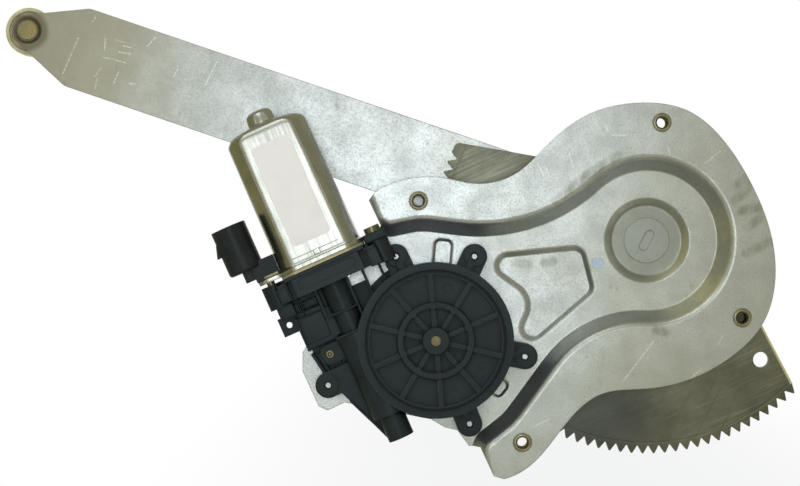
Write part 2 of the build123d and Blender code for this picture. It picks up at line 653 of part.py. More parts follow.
def sector_gear():
    """Toothed sector with a plain lobe past its last tooth and edges tangent to its hub."""
    def tooth_middle(index):
        return PINION_DIRECTION + (index + 0.5) * SECTOR_PITCH

    root = SECTOR_PITCH_RADIUS - TOOTH_DEDENDUM * MODULE
    tip = SECTOR_PITCH_RADIUS + SECTOR_ADDENDUM * MODULE
    lobe_middle = tooth_middle(FIRST_TOOTH - 1)
    lobe_end = lobe_middle - SECTOR_LOBE_TEETH * SECTOR_PITCH
    last_root = tooth_middle(LAST_TOOTH) + SECTOR_PITCH / 2
    upper_tangent = lobe_end - math.degrees(math.acos(SECTOR_HUB_RADIUS / tip))
    right_tangent = last_root + math.degrees(math.acos(SECTOR_HUB_RADIUS / root)) - 360
    lobe_flank = tooth_flank(MODULE, SECTOR_TEETH, SECTOR_ADDENDUM, 1)[::-1]
    rim = [polar(SECTOR_HUB_RADIUS, upper_tangent), polar(tip, lobe_end)]
    rim += [polar(radius, lobe_middle + angle) for radius, angle in lobe_flank]
    for index in range(FIRST_TOOTH, LAST_TOOTH + 1):
        rim += tooth_points(MODULE, SECTOR_TEETH, SECTOR_ADDENDUM, tooth_middle(index))
    rim += [polar(root, last_root), polar(SECTOR_HUB_RADIUS, right_tangent)]
    hub = CenterArc((0, 0), SECTOR_HUB_RADIUS, right_tangent, upper_tangent - right_tangent)
    face = make_face([Polyline(*rim), hub])
    corner = face.vertices().sort_by_distance((*polar(tip, lobe_end), 0))[0]
    face = fillet(corner, SECTOR_LOBE_CORNER)
    gear = slab(face, SECTOR_BACK, SECTOR_FRONT)
    gear -= disc(STUD_RADIUS + RUNNING_CLEARANCE + PIVOT_BUSH_WALL, SECTOR_BACK, SECTOR_FRONT)
    hole = polar(SECTOR_HOLE_DISTANCE, SECTOR_HOLE_DIRECTION)
    gear -= disc(SECTOR_HOLE_RADIUS, SECTOR_BACK, SECTOR_FRONT, hole)
    rivets = [polar(distance, ARM_DIRECTION) for distance in ARM_RIVET_DISTANCES]
    return gear - [disc(ARM_RIVET_RADIUS, SECTOR_BACK, SECTOR_FRONT, place) for place in rivets]


def lift_arm():
    """Long flat arm, tapered and dimpled round its roller stud."""
    half, tip = ARM_WIDTH / 2, ARM_TIP_WIDTH / 2
    taper = ARM_LENGTH - ARM_TAPER_LENGTH
    end = ARM_LENGTH + ARM_TIP_OVERHANG - ARM_TIP_CORNER
    circles = [
        (0, 0, half), (taper, ARM_TAPER_CORNER - half, ARM_TAPER_CORNER),
        (end, ARM_TIP_CORNER - tip, ARM_TIP_CORNER), (end, tip - ARM_TIP_CORNER, ARM_TIP_CORNER),
        (taper, half - ARM_TAPER_CORNER, ARM_TAPER_CORNER)]
    stud = (ARM_LENGTH, 0)
    arm = slab(loop_face(circles), ARM_BACK, SECTOR_BACK)
    arm -= disc(STUD_RADIUS + RUNNING_CLEARANCE + PIVOT_BUSH_WALL, ARM_BACK, SECTOR_BACK)
    arm -= [disc(ARM_RIVET_RADIUS, ARM_BACK, SECTOR_BACK, (along, 0)) for along in ARM_RIVET_DISTANCES]
    arm -= disc(ARM_DIMPLE_EDGE_RADIUS, ARM_BACK, SECTOR_BACK, stud)
    arm += Pos(*stud, 0) * dished_disc(
        SECTOR_BACK, ARM_DIMPLE_DEPTH, ARM_THICKNESS, ROLLER_NECK_RADIUS, ARM_DIMPLE_FLAT_RADIUS,
        ARM_DIMPLE_RIM_RADIUS, ARM_DIMPLE_EDGE_RADIUS, ARM_DIMPLE_ROUNDING)
    return Rot(0, 0, ARM_DIRECTION) * arm


def arm_rivets():
    """Rivets that hold the sector to the arm."""
    rivet = disc(ARM_RIVET_RADIUS, ARM_BACK, SECTOR_FRONT)
    rivet += disc(ARM_RIVET_HEAD_RADIUS, SECTOR_FRONT, SECTOR_FRONT + ARM_RIVET_HEAD)
    rivet += disc(ARM_RIVET_HEAD_RADIUS, ARM_BACK - ARM_RIVET_HEAD, ARM_BACK)
    places = [polar(distance, ARM_DIRECTION) for distance in ARM_RIVET_DISTANCES]
    return Part() + [Pos(*place, 0) * rivet for place in places]


def roller_levels():
    """Seat of the roller's axle on the arm, and the roller's front and back."""
    seat = ARM_BACK - ARM_DIMPLE_DEPTH
    front = seat - SIDE_PLAY
    return seat, front, front - ROLLER_WIDTH


def roller_stud():
    """Shouldered axle of the roller, riveted through the arm's dimple."""
    seat, _, back = roller_levels()
    cap = back - SIDE_PLAY
    front = SECTOR_BACK - ARM_DIMPLE_DEPTH
    head = disc(ROLLER_STUD_HEAD_RADIUS, front, front + ROLLER_STUD_HEAD)
    stud = disc(ROLLER_NECK_RADIUS, seat, front) + disc(ROLLER_AXLE_RADIUS, cap, seat)
    stud += [head, disc(ROLLER_CAP_RADIUS, cap - ROLLER_CAP, cap)]
    return Pos(*polar(ARM_LENGTH, ARM_DIRECTION), 0) * stud


def roller():
    """Nylon guide roller with an annular groove in each side."""
    _, front, back = roller_levels()
    wheel = disc(ROLLER_RADIUS, back, front)
    wheel = fillet(wheel.edges().filter_by(GeomType.CIRCLE), ROLLER_EDGE)
    wheel -= disc(ROLLER_AXLE_RADIUS + RUNNING_CLEARANCE, back, front)
    inner, outer = ROLLER_GROOVE_RADII
    wheel -= ring(outer, inner, front - ROLLER_GROOVE_DEPTH, front)
    wheel -= ring(outer, inner, back, back + ROLLER_GROOVE_DEPTH)
    return Pos(*polar(ARM_LENGTH, ARM_DIRECTION), 0) * wheel


def drive_pinion():
    """Pinion on the gearbox's output shaft; one tooth points at the pivot."""
    front = FLOOR_FRONT - SPIGOT_LENGTH - PINION_FRONT_GAP
    back = SECTOR_BACK + PINION_BACK_GAP
    outline = []
    for index in range(PINION_TEETH):
        middle = PINION_DIRECTION + 180 + index * 360 / PINION_TEETH
        outline += tooth_points(MODULE, PINION_TEETH, PINION_ADDENDUM, middle)
    pinion = Pos(*PINION_AXIS, 0) * slab(make_face(Polyline(*outline, close=True)), back, front)
    return pinion - disc(OUTPUT_RADIUS, back, front, PINION_AXIS)


def double_d(radius, flat):
    """Round section with two flats, across the motor's axis."""
    return Circle(radius) & Rectangle(2 * radius, 2 * flat)


def along_u(face, start, end):
    """Section across the motor's axis, drawn along it."""
    return Pos(start, 0, 0) * extrude(ACROSS * face, end - start, dir=(1, 0, 0))


def ear_places():
    """Sides at which the can's ears are screwed to the housing."""
    return -EAR_DISTANCE, EAR_DISTANCE


def ear_section(overhang):
    """Flanged end of the can with its two screw ears."""
    ears = Rectangle(2 * EAR_DISTANCE, 2 * EAR_RADIUS)
    for side in ear_places():
        ears += Pos(side, 0) * Circle(EAR_RADIUS)
    return double_d(CAN_RADIUS + overhang, CAN_FLAT + overhang) + ears


def motor_can():
    """Drawn steel can with a bearing boss at one end and an eared flange at the other."""
    can = along_u(double_d(CAN_RADIUS, CAN_FLAT), CAN_START, CARD_END)
    can = fillet(can.edges().group_by(Axis.X)[0], CAN_ROUNDING)
    boss = rod(CAN_BOSS_RADIUS, CAN_BOSS_START, CAN_START + CAN_WALL)
    can += fillet(boss.edges().group_by(Axis.X)[0], CAN_BOSS_ROUNDING)
    can += along_u(ear_section(CAN_FLANGE_OVERHANG), CAN_END, CARD_END)
    can -= along_u(double_d(CAN_RADIUS - CAN_WALL, CAN_FLAT - CAN_WALL), CAN_START + CAN_WALL, CARD_END)
    can -= rod(BUSH_RADIUS, CAN_BUSH[0], CAN_START + CAN_WALL)
    return can - [rod(CAN_SCREW_RADIUS, CAN_END, CARD_END, side) for side in ear_places()]


def can_screws():
    """Slotted screws through the can's ears into the housing."""
    screws = []
    for side in ear_places():
        top = CAN_END - CAN_SCREW_HEAD
        screw = rod(CAN_SCREW_HEAD_RADIUS, top, CAN_END, side)
        screw -= brick(
            (top, top + CAN_SCREW_SLOT), (side - CAN_SCREW_HEAD_RADIUS, side + CAN_SCREW_HEAD_RADIUS),
            (-CAN_SCREW_SLOT / 2, CAN_SCREW_SLOT / 2))
        screws.append(screw + rod(CAN_SCREW_RADIUS, CAN_END, CAN_END + CAN_SCREW_LENGTH, side))
    return Part() + screws


def shaft_bush(span):
    """Plain bearing for the armature shaft."""
    return sleeve(BUSH_RADIUS, SHAFT_RADIUS + RUNNING_CLEARANCE, *span)


def magnets():
    """Two arc magnets on the round sides of the can."""
    outer = CAN_RADIUS - CAN_WALL - ASSEMBLY_CLEARANCE
    shell = sleeve(outer, outer - MAGNET_THICKNESS, *MAGNET_SPAN)
    reach = outer * math.sin(math.radians(MAGNET_ARC / 2))
    keep = brick(MAGNET_SPAN, (-outer, outer), (-reach, reach))
    inner = outer - MAGNET_THICKNESS
    gap = brick(MAGNET_SPAN, (-inner / 2, inner / 2), (-outer, outer))
    flats = brick(MAGNET_SPAN, (-outer, outer), (-CAN_FLAT + CAN_WALL, CAN_FLAT - CAN_WALL))
    return (shell & keep & flats) - gap


def brush_holder():
    """Insulating card at the mouth of the can with a guide for each brush."""
    bore = COMMUTATOR_RADIUS + BRUSH_CARD_GAP
    outline = double_d(CAN_RADIUS + BRUSH_CARD_OVERHANG, CAN_FLAT + BRUSH_CARD_OVERHANG)
    card = along_u(outline, CARD_END, BLOCK_START)
    tip = COMMUTATOR_RADIUS + SIDE_PLAY
    tail = tip + BRUSH_LENGTH + BRUSH_SPRING_LENGTH
    half = BRUSH_WIDTH / 2
    for sign in (-1, 1):
        guide = brick(
            (BRUSH_SPAN[0] - BRUSH_BOX_WALL, CARD_END),
            (tip + BRUSH_BOX_WALL, tail + BRUSH_BOX_WALL), (-half - BRUSH_BOX_WALL, half + BRUSH_BOX_WALL))
        guide -= brick(BRUSH_SPAN, (tip, tail), (-half, half))
        card += guide if sign > 0 else Rot(180, 0, 0) * guide
    return card - rod(bore, CARD_END, BLOCK_START)


def brush_pair(make):
    """A piece on each side of the commutator."""
    return Part() + [make, Rot(180, 0, 0) * make]


def brushes():
    """Carbon brushes on the commutator."""
    tip = COMMUTATOR_RADIUS + SIDE_PLAY
    half = BRUSH_WIDTH / 2
    return brush_pair(brick(BRUSH_SPAN, (tip, tip + BRUSH_LENGTH), (-half, half)))


def brush_springs():
    """Springs behind the brushes, as closed coils."""
    start = COMMUTATOR_RADIUS + SIDE_PLAY + BRUSH_LENGTH
    coil = ring(BRUSH_SPRING_RADIUS, BRUSH_SPRING_BORE, 0, BRUSH_SPRING_LENGTH)
    middle = (BRUSH_SPAN[0] + BRUSH_SPAN[1]) / 2
    return brush_pair(Pos(middle, start, 0) * Rot(-90, 0, 0) * coil)


def armature_shaft():
    """Motor shaft with the worm thread cut on it."""
    root = WORM_PITCH_RADIUS - WORM_DEDENDUM
    length = WORM_TURNS * WORM_LEAD
    collar = length / 2 + WORM_COLLAR
    flank = math.tan(math.radians(WORM_PRESSURE))
    thread_start = Plane(origin=(-length / 2, 0, 0), x_dir=(0, 1, 0), z_dir=(1, 0, 0))
    path = thread_start * Helix(WORM_LEAD, length, WORM_PITCH_RADIUS)
    low = -WORM_DEDENDUM - JOIN_OVERLAP
    half_low = WORM_THICKNESS / 2 - low * flank
    half_high = WORM_THICKNESS / 2 - WORM_ADDENDUM * flank
    points = [(low, -half_low), (WORM_ADDENDUM, -half_high), (WORM_ADDENDUM, half_high), (low, half_low)]
    profile = make_face(Polyline(*points, close=True))
    section = Plane(origin=path @ 0, x_dir=(0, 1, 0), z_dir=path % 0) * profile
    thread = sweep(section, path=path, is_frenet=True)
    return rod(SHAFT_RADIUS, SHAFT_START, SHAFT_END) + rod(root, -collar, collar) + thread


def core_radius():
    """Outside of the armature core, inside the magnets by the air gap."""
    return CAN_RADIUS - CAN_WALL - ASSEMBLY_CLEARANCE - MAGNET_THICKNESS - AIR_GAP


def armature_core():
    """Slotted iron core on the shaft."""
    core = sleeve(core_radius(), SHAFT_RADIUS, *CORE_SPAN)
    radius = core_radius()
    slot = brick(CORE_SPAN, (radius - CORE_SLOT_DEPTH, radius), (-CORE_SLOT_WIDTH / 2, CORE_SLOT_WIDTH / 2))
    return core - [Rot(index * 360 / CORE_SLOTS, 0, 0) * slot for index in range(CORE_SLOTS)]


def armature_windings():
    """Copper in the core's slots and the end turns on both sides of it."""
    radius = core_radius()
    depth = radius - CORE_SLOT_DEPTH
    copper = brick(
        CORE_SPAN, (depth, WINDING_RADIUS), (-CORE_SLOT_WIDTH / 2, CORE_SLOT_WIDTH / 2))
    turns = [Rot(index * 360 / CORE_SLOTS, 0, 0) * copper for index in range(CORE_SLOTS)]
    start, end = CORE_SPAN
    turns.append(sleeve(WINDING_RADIUS, SHAFT_RADIUS, start - WINDING_OVERHANG, start))
    turns.append(sleeve(WINDING_RADIUS, SHAFT_RADIUS, end, end + WINDING_OVERHANG))
    return Part() + turns


def commutator():
    """Copper commutator with slits between its bars."""
    start, end = COMMUTATOR_SPAN
    drum = sleeve(COMMUTATOR_RADIUS, SHAFT_RADIUS, start, end)
    slit = brick(
        (start, end), (COMMUTATOR_RADIUS - COMMUTATOR_SLIT_DEPTH, COMMUTATOR_RADIUS),
        (-COMMUTATOR_SLIT / 2, COMMUTATOR_SLIT / 2))
    return drum - [Rot(index * 360 / COMMUTATOR_BARS, 0, 0) * slit for index in range(COMMUTATOR_BARS)]


def motor_label():
    """Blank paper label on the front flat of the can."""
    sheet = RectangleRounded(LABEL_LENGTH, LABEL_WIDTH, LABEL_CORNER)
    return Pos(LABEL_CENTRE, 0, 0) * slab(sheet, CAN_FLAT, CAN_FLAT + LABEL_THICKNESS)


def housing_block():
    """Square shoulder of the housing at the motor, with a screw column on each side."""
    floor = MOTOR_SEAT + FLOOR_GAP
    section = Pos(0, (floor + BLOCK_FRONT) / 2) * RectangleRounded(
        2 * BLOCK_HALF_WIDTH, BLOCK_FRONT - floor, BLOCK_CORNER)
    block = along_u(section, BLOCK_START, BLOCK_END)
    for side in ear_places():
        block += rod(EAR_RADIUS, BLOCK_START, COLUMN_END, side)
        web = sorted((math.copysign(BLOCK_HALF_WIDTH - BLOCK_CORNER, side), side))
        block += brick((BLOCK_START, BLOCK_END), web, (-COLUMN_WEB / 2, COLUMN_WEB / 2))
        column = sorted(math.copysign(edge, side) for edge in COLUMN_SPAN)
        block += brick((COLUMN_START, BLOCK_END), column, (floor, COLUMN_FRONT))
        slot = sorted(math.copysign(edge, side) for edge in BLOCK_SLOT)
        block -= brick((COLUMN_START, BLOCK_END), slot, (BLOCK_FRONT - BLOCK_SLOT_DEPTH, BLOCK_FRONT))
    panel = Pos((BLOCK_START + BLOCK_END) / 2, 0) * Rot(0, 0, 90) * SlotOverall(
        BLOCK_PANEL_LENGTH, BLOCK_PANEL_WIDTH)
    block -= slab(panel, BLOCK_FRONT - BLOCK_PANEL_DEPTH, BLOCK_FRONT)
    return block - rod(BLOCK_POCKET_RADIUS, BLOCK_START, BLOCK_START + BLOCK_POCKET_DEPTH)


def housing_lug(place):
    """Screw lug standing on the plate."""
    boss = disc(LUG_BOSS_RADIUS, LUG_TOP, LUG_TOP + LUG_BOSS, place)
    return disc(LUG_RADIUS, MOTOR_SEAT, LUG_TOP, place) + boss


def housing_side():
    """Flat panel, pad, tab and gusset on the side of the worm tunnel away from the wheel."""
    floor = MOTOR_SEAT + FLOOR_GAP
    side = brick(PANEL_SPAN_U, PANEL_SPAN_V, (floor, PANEL_TOP))
    side += brick((BLOCK_END, PANEL_SPAN_U[0]), (PANEL_SPAN_V[0], 0), (floor, PANEL_BACK))
    side += brick((PANEL_SPAN_U[1], SIDE_LUG[0]), (PANEL_SPAN_V[0], 0), (floor, WEB_TOP))
    pad = slab(loop_face([(*PAD_PLACE, PAD_RADIUS), (PAD_PLACE[0], 0, PAD_RADIUS)]), floor, PAD_TOP)
    side += pad
    side -= disc(PAD_HOLE_RADIUS, floor, PAD_TOP, PAD_PLACE)
    tab = brick(
        (TAB_PLACE[0] - TAB_LENGTH / 2, TAB_PLACE[0] + TAB_LENGTH / 2),
        (TAB_PLACE[1] - TAB_WIDTH / 2, PANEL_SPAN_V[0]), (floor, floor + TAB_THICKNESS))
    side += tab - disc(TAB_HOLE_RADIUS, floor, floor + TAB_THICKNESS, TAB_PLACE)
    bar = slab(loop_face([(*SIDE_LUG, LUG_RADIUS), (SIDE_LUG[0], 0, LUG_RADIUS)]), MOTOR_SEAT, LUG_TOP)
    gusset = make_face(Polyline(
        (GUSSET_START, GUSSET_SIDES[0]), (END_TUBE_END, GUSSET_SIDES[1]), (END_TUBE_END, 0),
        (GUSSET_START, 0), close=True))
    return side + bar + slab(gusset, LUG_TOP - GUSSET_THICKNESS, LUG_TOP)


def housing_neck():
    """Base and thin frame walls round the shaft's neck, and ribs from the block to the pot."""
    floor = MOTOR_SEAT + FLOOR_GAP
    half = NECK_FRAME / 2
    left, right = NECK_FRAME_SIDES
    end = TUNNEL_SPAN[0]
    neck = brick((BLOCK_END, end), NECK_FRAME_SIDES, (floor, NECK_BASE))
    neck += brick((BLOCK_END, NECK_STEP + half), (left - half, left + half), (floor, NECK_FRAME_TOP))
    neck += brick((BLOCK_END, end), (right - half, right + half), (floor, NECK_FRAME_TOP))
    for station in (NECK_STEP, end):
        neck += brick((station - half, station + half), NECK_FRAME_SIDES, (floor, NECK_FRAME_TOP))
    for side in RIB_SIDES:
        neck += brick((BLOCK_END, 0), (side - half, side + half), (floor, RIB_TOP))
    neck += brick((RIB_FLOOR_START, end), (right, RIB_SIDES[0]), (floor, SKIRT_TOP))
    skirt = disc(SKIRT_RADIUS, MOTOR_SEAT, SKIRT_TOP, WHEEL_AXIS)
    return neck + (skirt & brick((BLOCK_END, 0), (0, WHEEL_AXIS[1]), (MOTOR_SEAT, SKIRT_TOP)))


def gear_housing():
    """Plastic housing: wheel pot, worm tunnel, motor shoulder and screw lugs in one moulding."""
    floor = MOTOR_SEAT + FLOOR_GAP
    seal_radius = COVER_RADIUS + ASSEMBLY_CLEARANCE
    pot = disc(POT_RADIUS, MOTOR_SEAT, POT_RIM, WHEEL_AXIS)
    pot += disc(MOTOR_HOLE_RADIUS - ASSEMBLY_CLEARANCE, MOTOR_SEAT - SPIGOT_LENGTH, MOTOR_SEAT, WHEEL_AXIS)
    necks = []
    for u, v in lug_places()[:-1]:
        spoke = math.degrees(math.atan2(v - WHEEL_AXIS[1], u - WHEEL_AXIS[0]))
        reach = (POT_RADIUS - LUG_NECK_WIDTH / 2, LUG_CIRCLE)
        neck = brick(reach, (-LUG_RADIUS, LUG_RADIUS), (MOTOR_SEAT, LUG_TOP))
        half = LUG_NECK_WIDTH / 2
        neck += brick(reach, (-half, half), (LUG_TOP, LUG_TOP + LUG_BOSS))
        necks.append(Pos(*WHEEL_AXIS, 0) * Rot(0, 0, spoke) * neck)
    tunnel = rod(TUNNEL_RADIUS, *TUNNEL_SPAN)
    tunnel += brick(TUNNEL_SPAN, (-TUNNEL_RADIUS, TUNNEL_RADIUS), (MOTOR_SEAT, 0))
    tunnel += rod(END_TUBE_RADIUS, TUNNEL_SPAN[1], END_TUBE_END)
    tunnel += rod(NECK_RADIUS, BLOCK_END, NECK_STEP) + rod(END_TUBE_RADIUS, NECK_STEP, TUNNEL_SPAN[0])
    housing = pot + necks + tunnel + housing_neck() + housing_block() + housing_side()
    housing += [housing_lug(place) for place in lug_places()]
    worm_radius = WORM_PITCH_RADIUS + WORM_ADDENDUM + TUNNEL_BORE_GAP
    bore = OUTPUT_RADIUS + RUNNING_CLEARANCE + OUTPUT_BUSH_WALL
    cuts = [
        disc(POT_CAVITY_RADIUS, POT_FLOOR, POT_RIM, WHEEL_AXIS),
        disc(seal_radius, POT_LEDGE, POT_RIM, WHEEL_AXIS),
        disc(bore, MOTOR_SEAT - SPIGOT_LENGTH, POT_FLOOR, WHEEL_AXIS),
        rod(worm_radius, *TUNNEL_BORE_SPAN),
        rod(SHAFT_RADIUS + TUNNEL_BORE_GAP, BLOCK_START, SHAFT_END),
        rod(BUSH_RADIUS, BLOCK_START + BLOCK_POCKET_DEPTH, HOUSING_BUSH[1]),
        rod(BUSH_RADIUS, END_BUSH[0], END_TUBE_END)]
    cuts += [disc(MOTOR_SCREW_RADIUS, MOTOR_SEAT, LUG_TOP + LUG_BOSS, place) for place in lug_places()]
    cuts += [rod(CAN_SCREW_RADIUS, BLOCK_START, CAN_END + CAN_SCREW_LENGTH, side) for side in ear_places()]
    return housing - cuts


def gear_cover():
    """Ribbed round cover over the worm wheel, with a boss that guides the output shaft."""
    cover = disc(COVER_RADIUS, CAVITY_TOP, COVER_TOP)
    cover -= disc(COVER_RING_RADII[0], COVER_TOP - COVER_WELL_DEPTH, COVER_TOP)
    rib_top = COVER_TOP + COVER_RIB_HEIGHT
    rib = brick(
        (0, COVER_RADIUS - COVER_RIM_WIDTH / 2), (-COVER_RIB_WIDTH / 2, COVER_RIB_WIDTH / 2),
        (COVER_TOP - COVER_WELL_DEPTH, rib_top))
    first = COVER_RIB_DIRECTION - MOTOR_ANGLE
    cover += [Rot(0, 0, first + index * 360 / COVER_RIBS) * rib for index in range(COVER_RIBS)]
    cover += ring(COVER_RADIUS, COVER_RADIUS - COVER_RIM_WIDTH, COVER_TOP, rib_top)
    cover += ring(COVER_RING_RADII[1], COVER_RING_RADII[0], COVER_TOP - COVER_WELL_DEPTH, rib_top)
    cover += disc(COVER_HUB_RADIUS, CAVITY_TOP, HUB_TOP)
    cover -= disc(OUTPUT_JOURNAL_RADIUS + RUNNING_CLEARANCE, CAVITY_TOP, HUB_TOP)
    for direction in COVER_MARK_DIRECTIONS:
        mark = polar(COVER_MARK_DISTANCE, direction - MOTOR_ANGLE)
        cover -= disc(COVER_MARK_RADIUS, COVER_TOP - COVER_MARK_DEPTH, COVER_TOP, mark)
    return Pos(*WHEEL_AXIS, 0) * cover


def cover_seal():
    """Flat gasket under the edge of the cover."""
    return ring(COVER_RADIUS, COVER_RADIUS - COVER_SEAL_WIDTH, POT_LEDGE, CAVITY_TOP, WHEEL_AXIS)


def thrust_plug():
    """Plug that closes the end tube and takes the shaft's end thrust."""
    return rod(BUSH_RADIUS, SHAFT_END + THRUST_GAP, END_TUBE_END)


def motor_screws():
    """Screws from behind the plate into the lugs of the housing."""
    head = MOTOR_SEAT - SHEET
    screws = []
    for place in lug_places():
        screw = disc(MOTOR_SCREW_HEAD_RADIUS, head - MOTOR_SCREW_HEAD, head, place)
        thread = disc(MOTOR_SCREW_RADIUS, head, LUG_TOP + LUG_BOSS - MOTOR_SCREW_RECESS, place)
        screw += chamfer(thread.edges().group_by(Axis.Z)[-1], MOTOR_SCREW_TIP)
        low = head - MOTOR_SCREW_HEAD
        screws.append(screw - disc(MOTOR_SCREW_SOCKET_RADIUS, low, low + MOTOR_SCREW_SOCKET_DEPTH, place))
    return Part() + screws


def output_bush():
    """Plain bearing of the output shaft in the housing's floor."""
    bore = OUTPUT_RADIUS + RUNNING_CLEARANCE
    low = MOTOR_SEAT - SPIGOT_LENGTH + SHAFT_SEAL
    return ring(bore + OUTPUT_BUSH_WALL, bore, low, POT_FLOOR, WHEEL_AXIS)


def shaft_seal():
    """Ring seal below the output bush."""
    outer = OUTPUT_RADIUS + RUNNING_CLEARANCE + OUTPUT_BUSH_WALL
    low = MOTOR_SEAT - SPIGOT_LENGTH
    return ring(outer, OUTPUT_RADIUS + SHAFT_SEAL_GAP, low, low + SHAFT_SEAL, WHEEL_AXIS)


def coupling_dogs(inner, outer, bottom, top, offset, width):
    """Radial dogs that the wheel and the driver put into the damper's slots."""
    dog = brick((inner, outer), (-width / 2, width / 2), (bottom, top))
    return [Rot(0, 0, offset + index * 360 / COUPLING_DOGS) * dog for index in range(COUPLING_DOGS)]


def driver_top():
    """Upper face of the driver plate under the damper."""
    return -WHEEL_WIDTH / 2 + DRIVER_THICKNESS


def damper_top():
    """Upper face of the damper under the wheel's web."""
    return WHEEL_WIDTH / 2 - WHEEL_WEB


def worm_wheel():
    """Worm wheel with slanted teeth, a web and dogs for the rubber damper."""
    half = WHEEL_WIDTH / 2
    root = WHEEL_PITCH_RADIUS - WHEEL_DEDENDUM * WORM_MODULE
    tip = WHEEL_PITCH_RADIUS + WHEEL_ADDENDUM * WORM_MODULE
    flank = math.tan(math.radians(WORM_PRESSURE))
    gap = math.pi * WORM_MODULE - WORM_THICKNESS - GEAR_BACKLASH
    low = gap / 2 + (WHEEL_PITCH_RADIUS - root) * flank
    high = gap / 2 - (tip - WHEEL_PITCH_RADIUS) * flank
    slant = WORM_LEAD / (2 * math.pi * WORM_PITCH_RADIUS)
    inner = root - JOIN_OVERLAP
    points = [(inner, -low), (root, -low), (tip, -high), (tip, high), (root, low), (inner, low)]
    run = WHEEL_WIDTH * math.hypot(1, slant)
    tooth = extrude(make_face(Polyline(*points, close=True)), run, dir=(0, slant, 1))
    tooth = Pos(0, -slant * half, -half) * tooth
    teeth = [Rot(0, 0, -90 + index * 360 / WHEEL_TEETH) * tooth for index in range(WHEEL_TEETH)]
    wheel = disc(root, -half, half) + teeth
    wheel -= ring(WHEEL_POCKET_RADIUS, WHEEL_HUB_RADIUS, -half, damper_top())
    wheel -= disc(WHEEL_HUB_RADIUS, -half, driver_top())
    wheel += coupling_dogs(
        WHEEL_HUB_RADIUS - JOIN_OVERLAP, WHEEL_POCKET_RADIUS + JOIN_OVERLAP, driver_top(), damper_top(),
        0, DOG_WIDTH)
    return Pos(*WHEEL_AXIS, 0) * (wheel - disc(OUTPUT_RADIUS, -half, half))


def damper():
    """Rubber damper between the wheel and the driver plate."""
    outer = WHEEL_POCKET_RADIUS - ASSEMBLY_CLEARANCE
    inner = WHEEL_HUB_RADIUS + ASSEMBLY_CLEARANCE
    body = ring(outer, inner, driver_top(), damper_top())
    slot = DOG_WIDTH + 2 * ASSEMBLY_CLEARANCE
    body -= coupling_dogs(0, WHEEL_PITCH_RADIUS, driver_top(), damper_top(), 0, slot)
    body -= coupling_dogs(0, WHEEL_PITCH_RADIUS, driver_top(), damper_top(), 180 / COUPLING_DOGS, slot)
    return Pos(*WHEEL_AXIS, 0) * body


def driver_plate():
    """Steel plate on the output shaft with dogs into the damper."""
    outer = WHEEL_POCKET_RADIUS - ASSEMBLY_CLEARANCE
    bottom = driver_top() - DRIVER_THICKNESS
    plate = disc(outer, bottom, driver_top())
    plate += coupling_dogs(
        WHEEL_HUB_RADIUS + DOG_WIDTH, outer - DOG_WIDTH, driver_top(), damper_top() - ASSEMBLY_CLEARANCE,
        180 / COUPLING_DOGS, DOG_WIDTH)
    return Pos(*WHEEL_AXIS, 0) * (plate - disc(OUTPUT_RADIUS, bottom, driver_top()))


def circlip_levels():
    """Groove of the retaining ring just above the wheel."""
    return WHEEL_WIDTH / 2, WHEEL_WIDTH / 2 + CIRCLIP_THICKNESS


def output_shaft():
    """Stepped shaft from the pinion to the cover's boss."""
    low = SECTOR_BACK + PINION_BACK_GAP - WORM_LEVEL
    bottom, top = circlip_levels()
    step = CAVITY_TOP - SIDE_PLAY
    shaft = disc(OUTPUT_RADIUS, low, step) + disc(OUTPUT_JOURNAL_RADIUS, step, HUB_TOP + OUTPUT_PROUD)
    return Pos(*WHEEL_AXIS, 0) * (shaft - ring(OUTPUT_RADIUS, OUTPUT_RADIUS - CIRCLIP_DEPTH, bottom, top))


def output_circlip():
    """Retaining ring on the output shaft."""
    bottom, top = circlip_levels()
    bore = OUTPUT_RADIUS - CIRCLIP_DEPTH
    clip = ring(bore + CIRCLIP_WIDTH, bore, bottom, top)
    clip -= brick((0, bore + CIRCLIP_WIDTH), (-CIRCLIP_OPENING / 2, CIRCLIP_OPENING / 2), (bottom, top))
    return Pos(*WHEEL_AXIS, 0) * clip


def connector_terminals():
    """Blade terminals standing in the connector's socket."""
    start = CONNECTOR_SPAN[0] + CONNECTOR_SOCKET_DEPTH + TERMINAL_ROOT
    blades = []
    for index in range(TERMINAL_COUNT):
        height = (index - (TERMINAL_COUNT - 1) / 2) * TERMINAL_PITCH
        blades.append(brick(
            (start - TERMINAL_LENGTH - TERMINAL_ROOT, start),
            (CONNECTOR_SIDE - TERMINAL_WIDTH / 2, CONNECTOR_SIDE + TERMINAL_WIDTH / 2),
            (height - TERMINAL_THICKNESS / 2, height + TERMINAL_THICKNESS / 2)))
    return Part() + blades


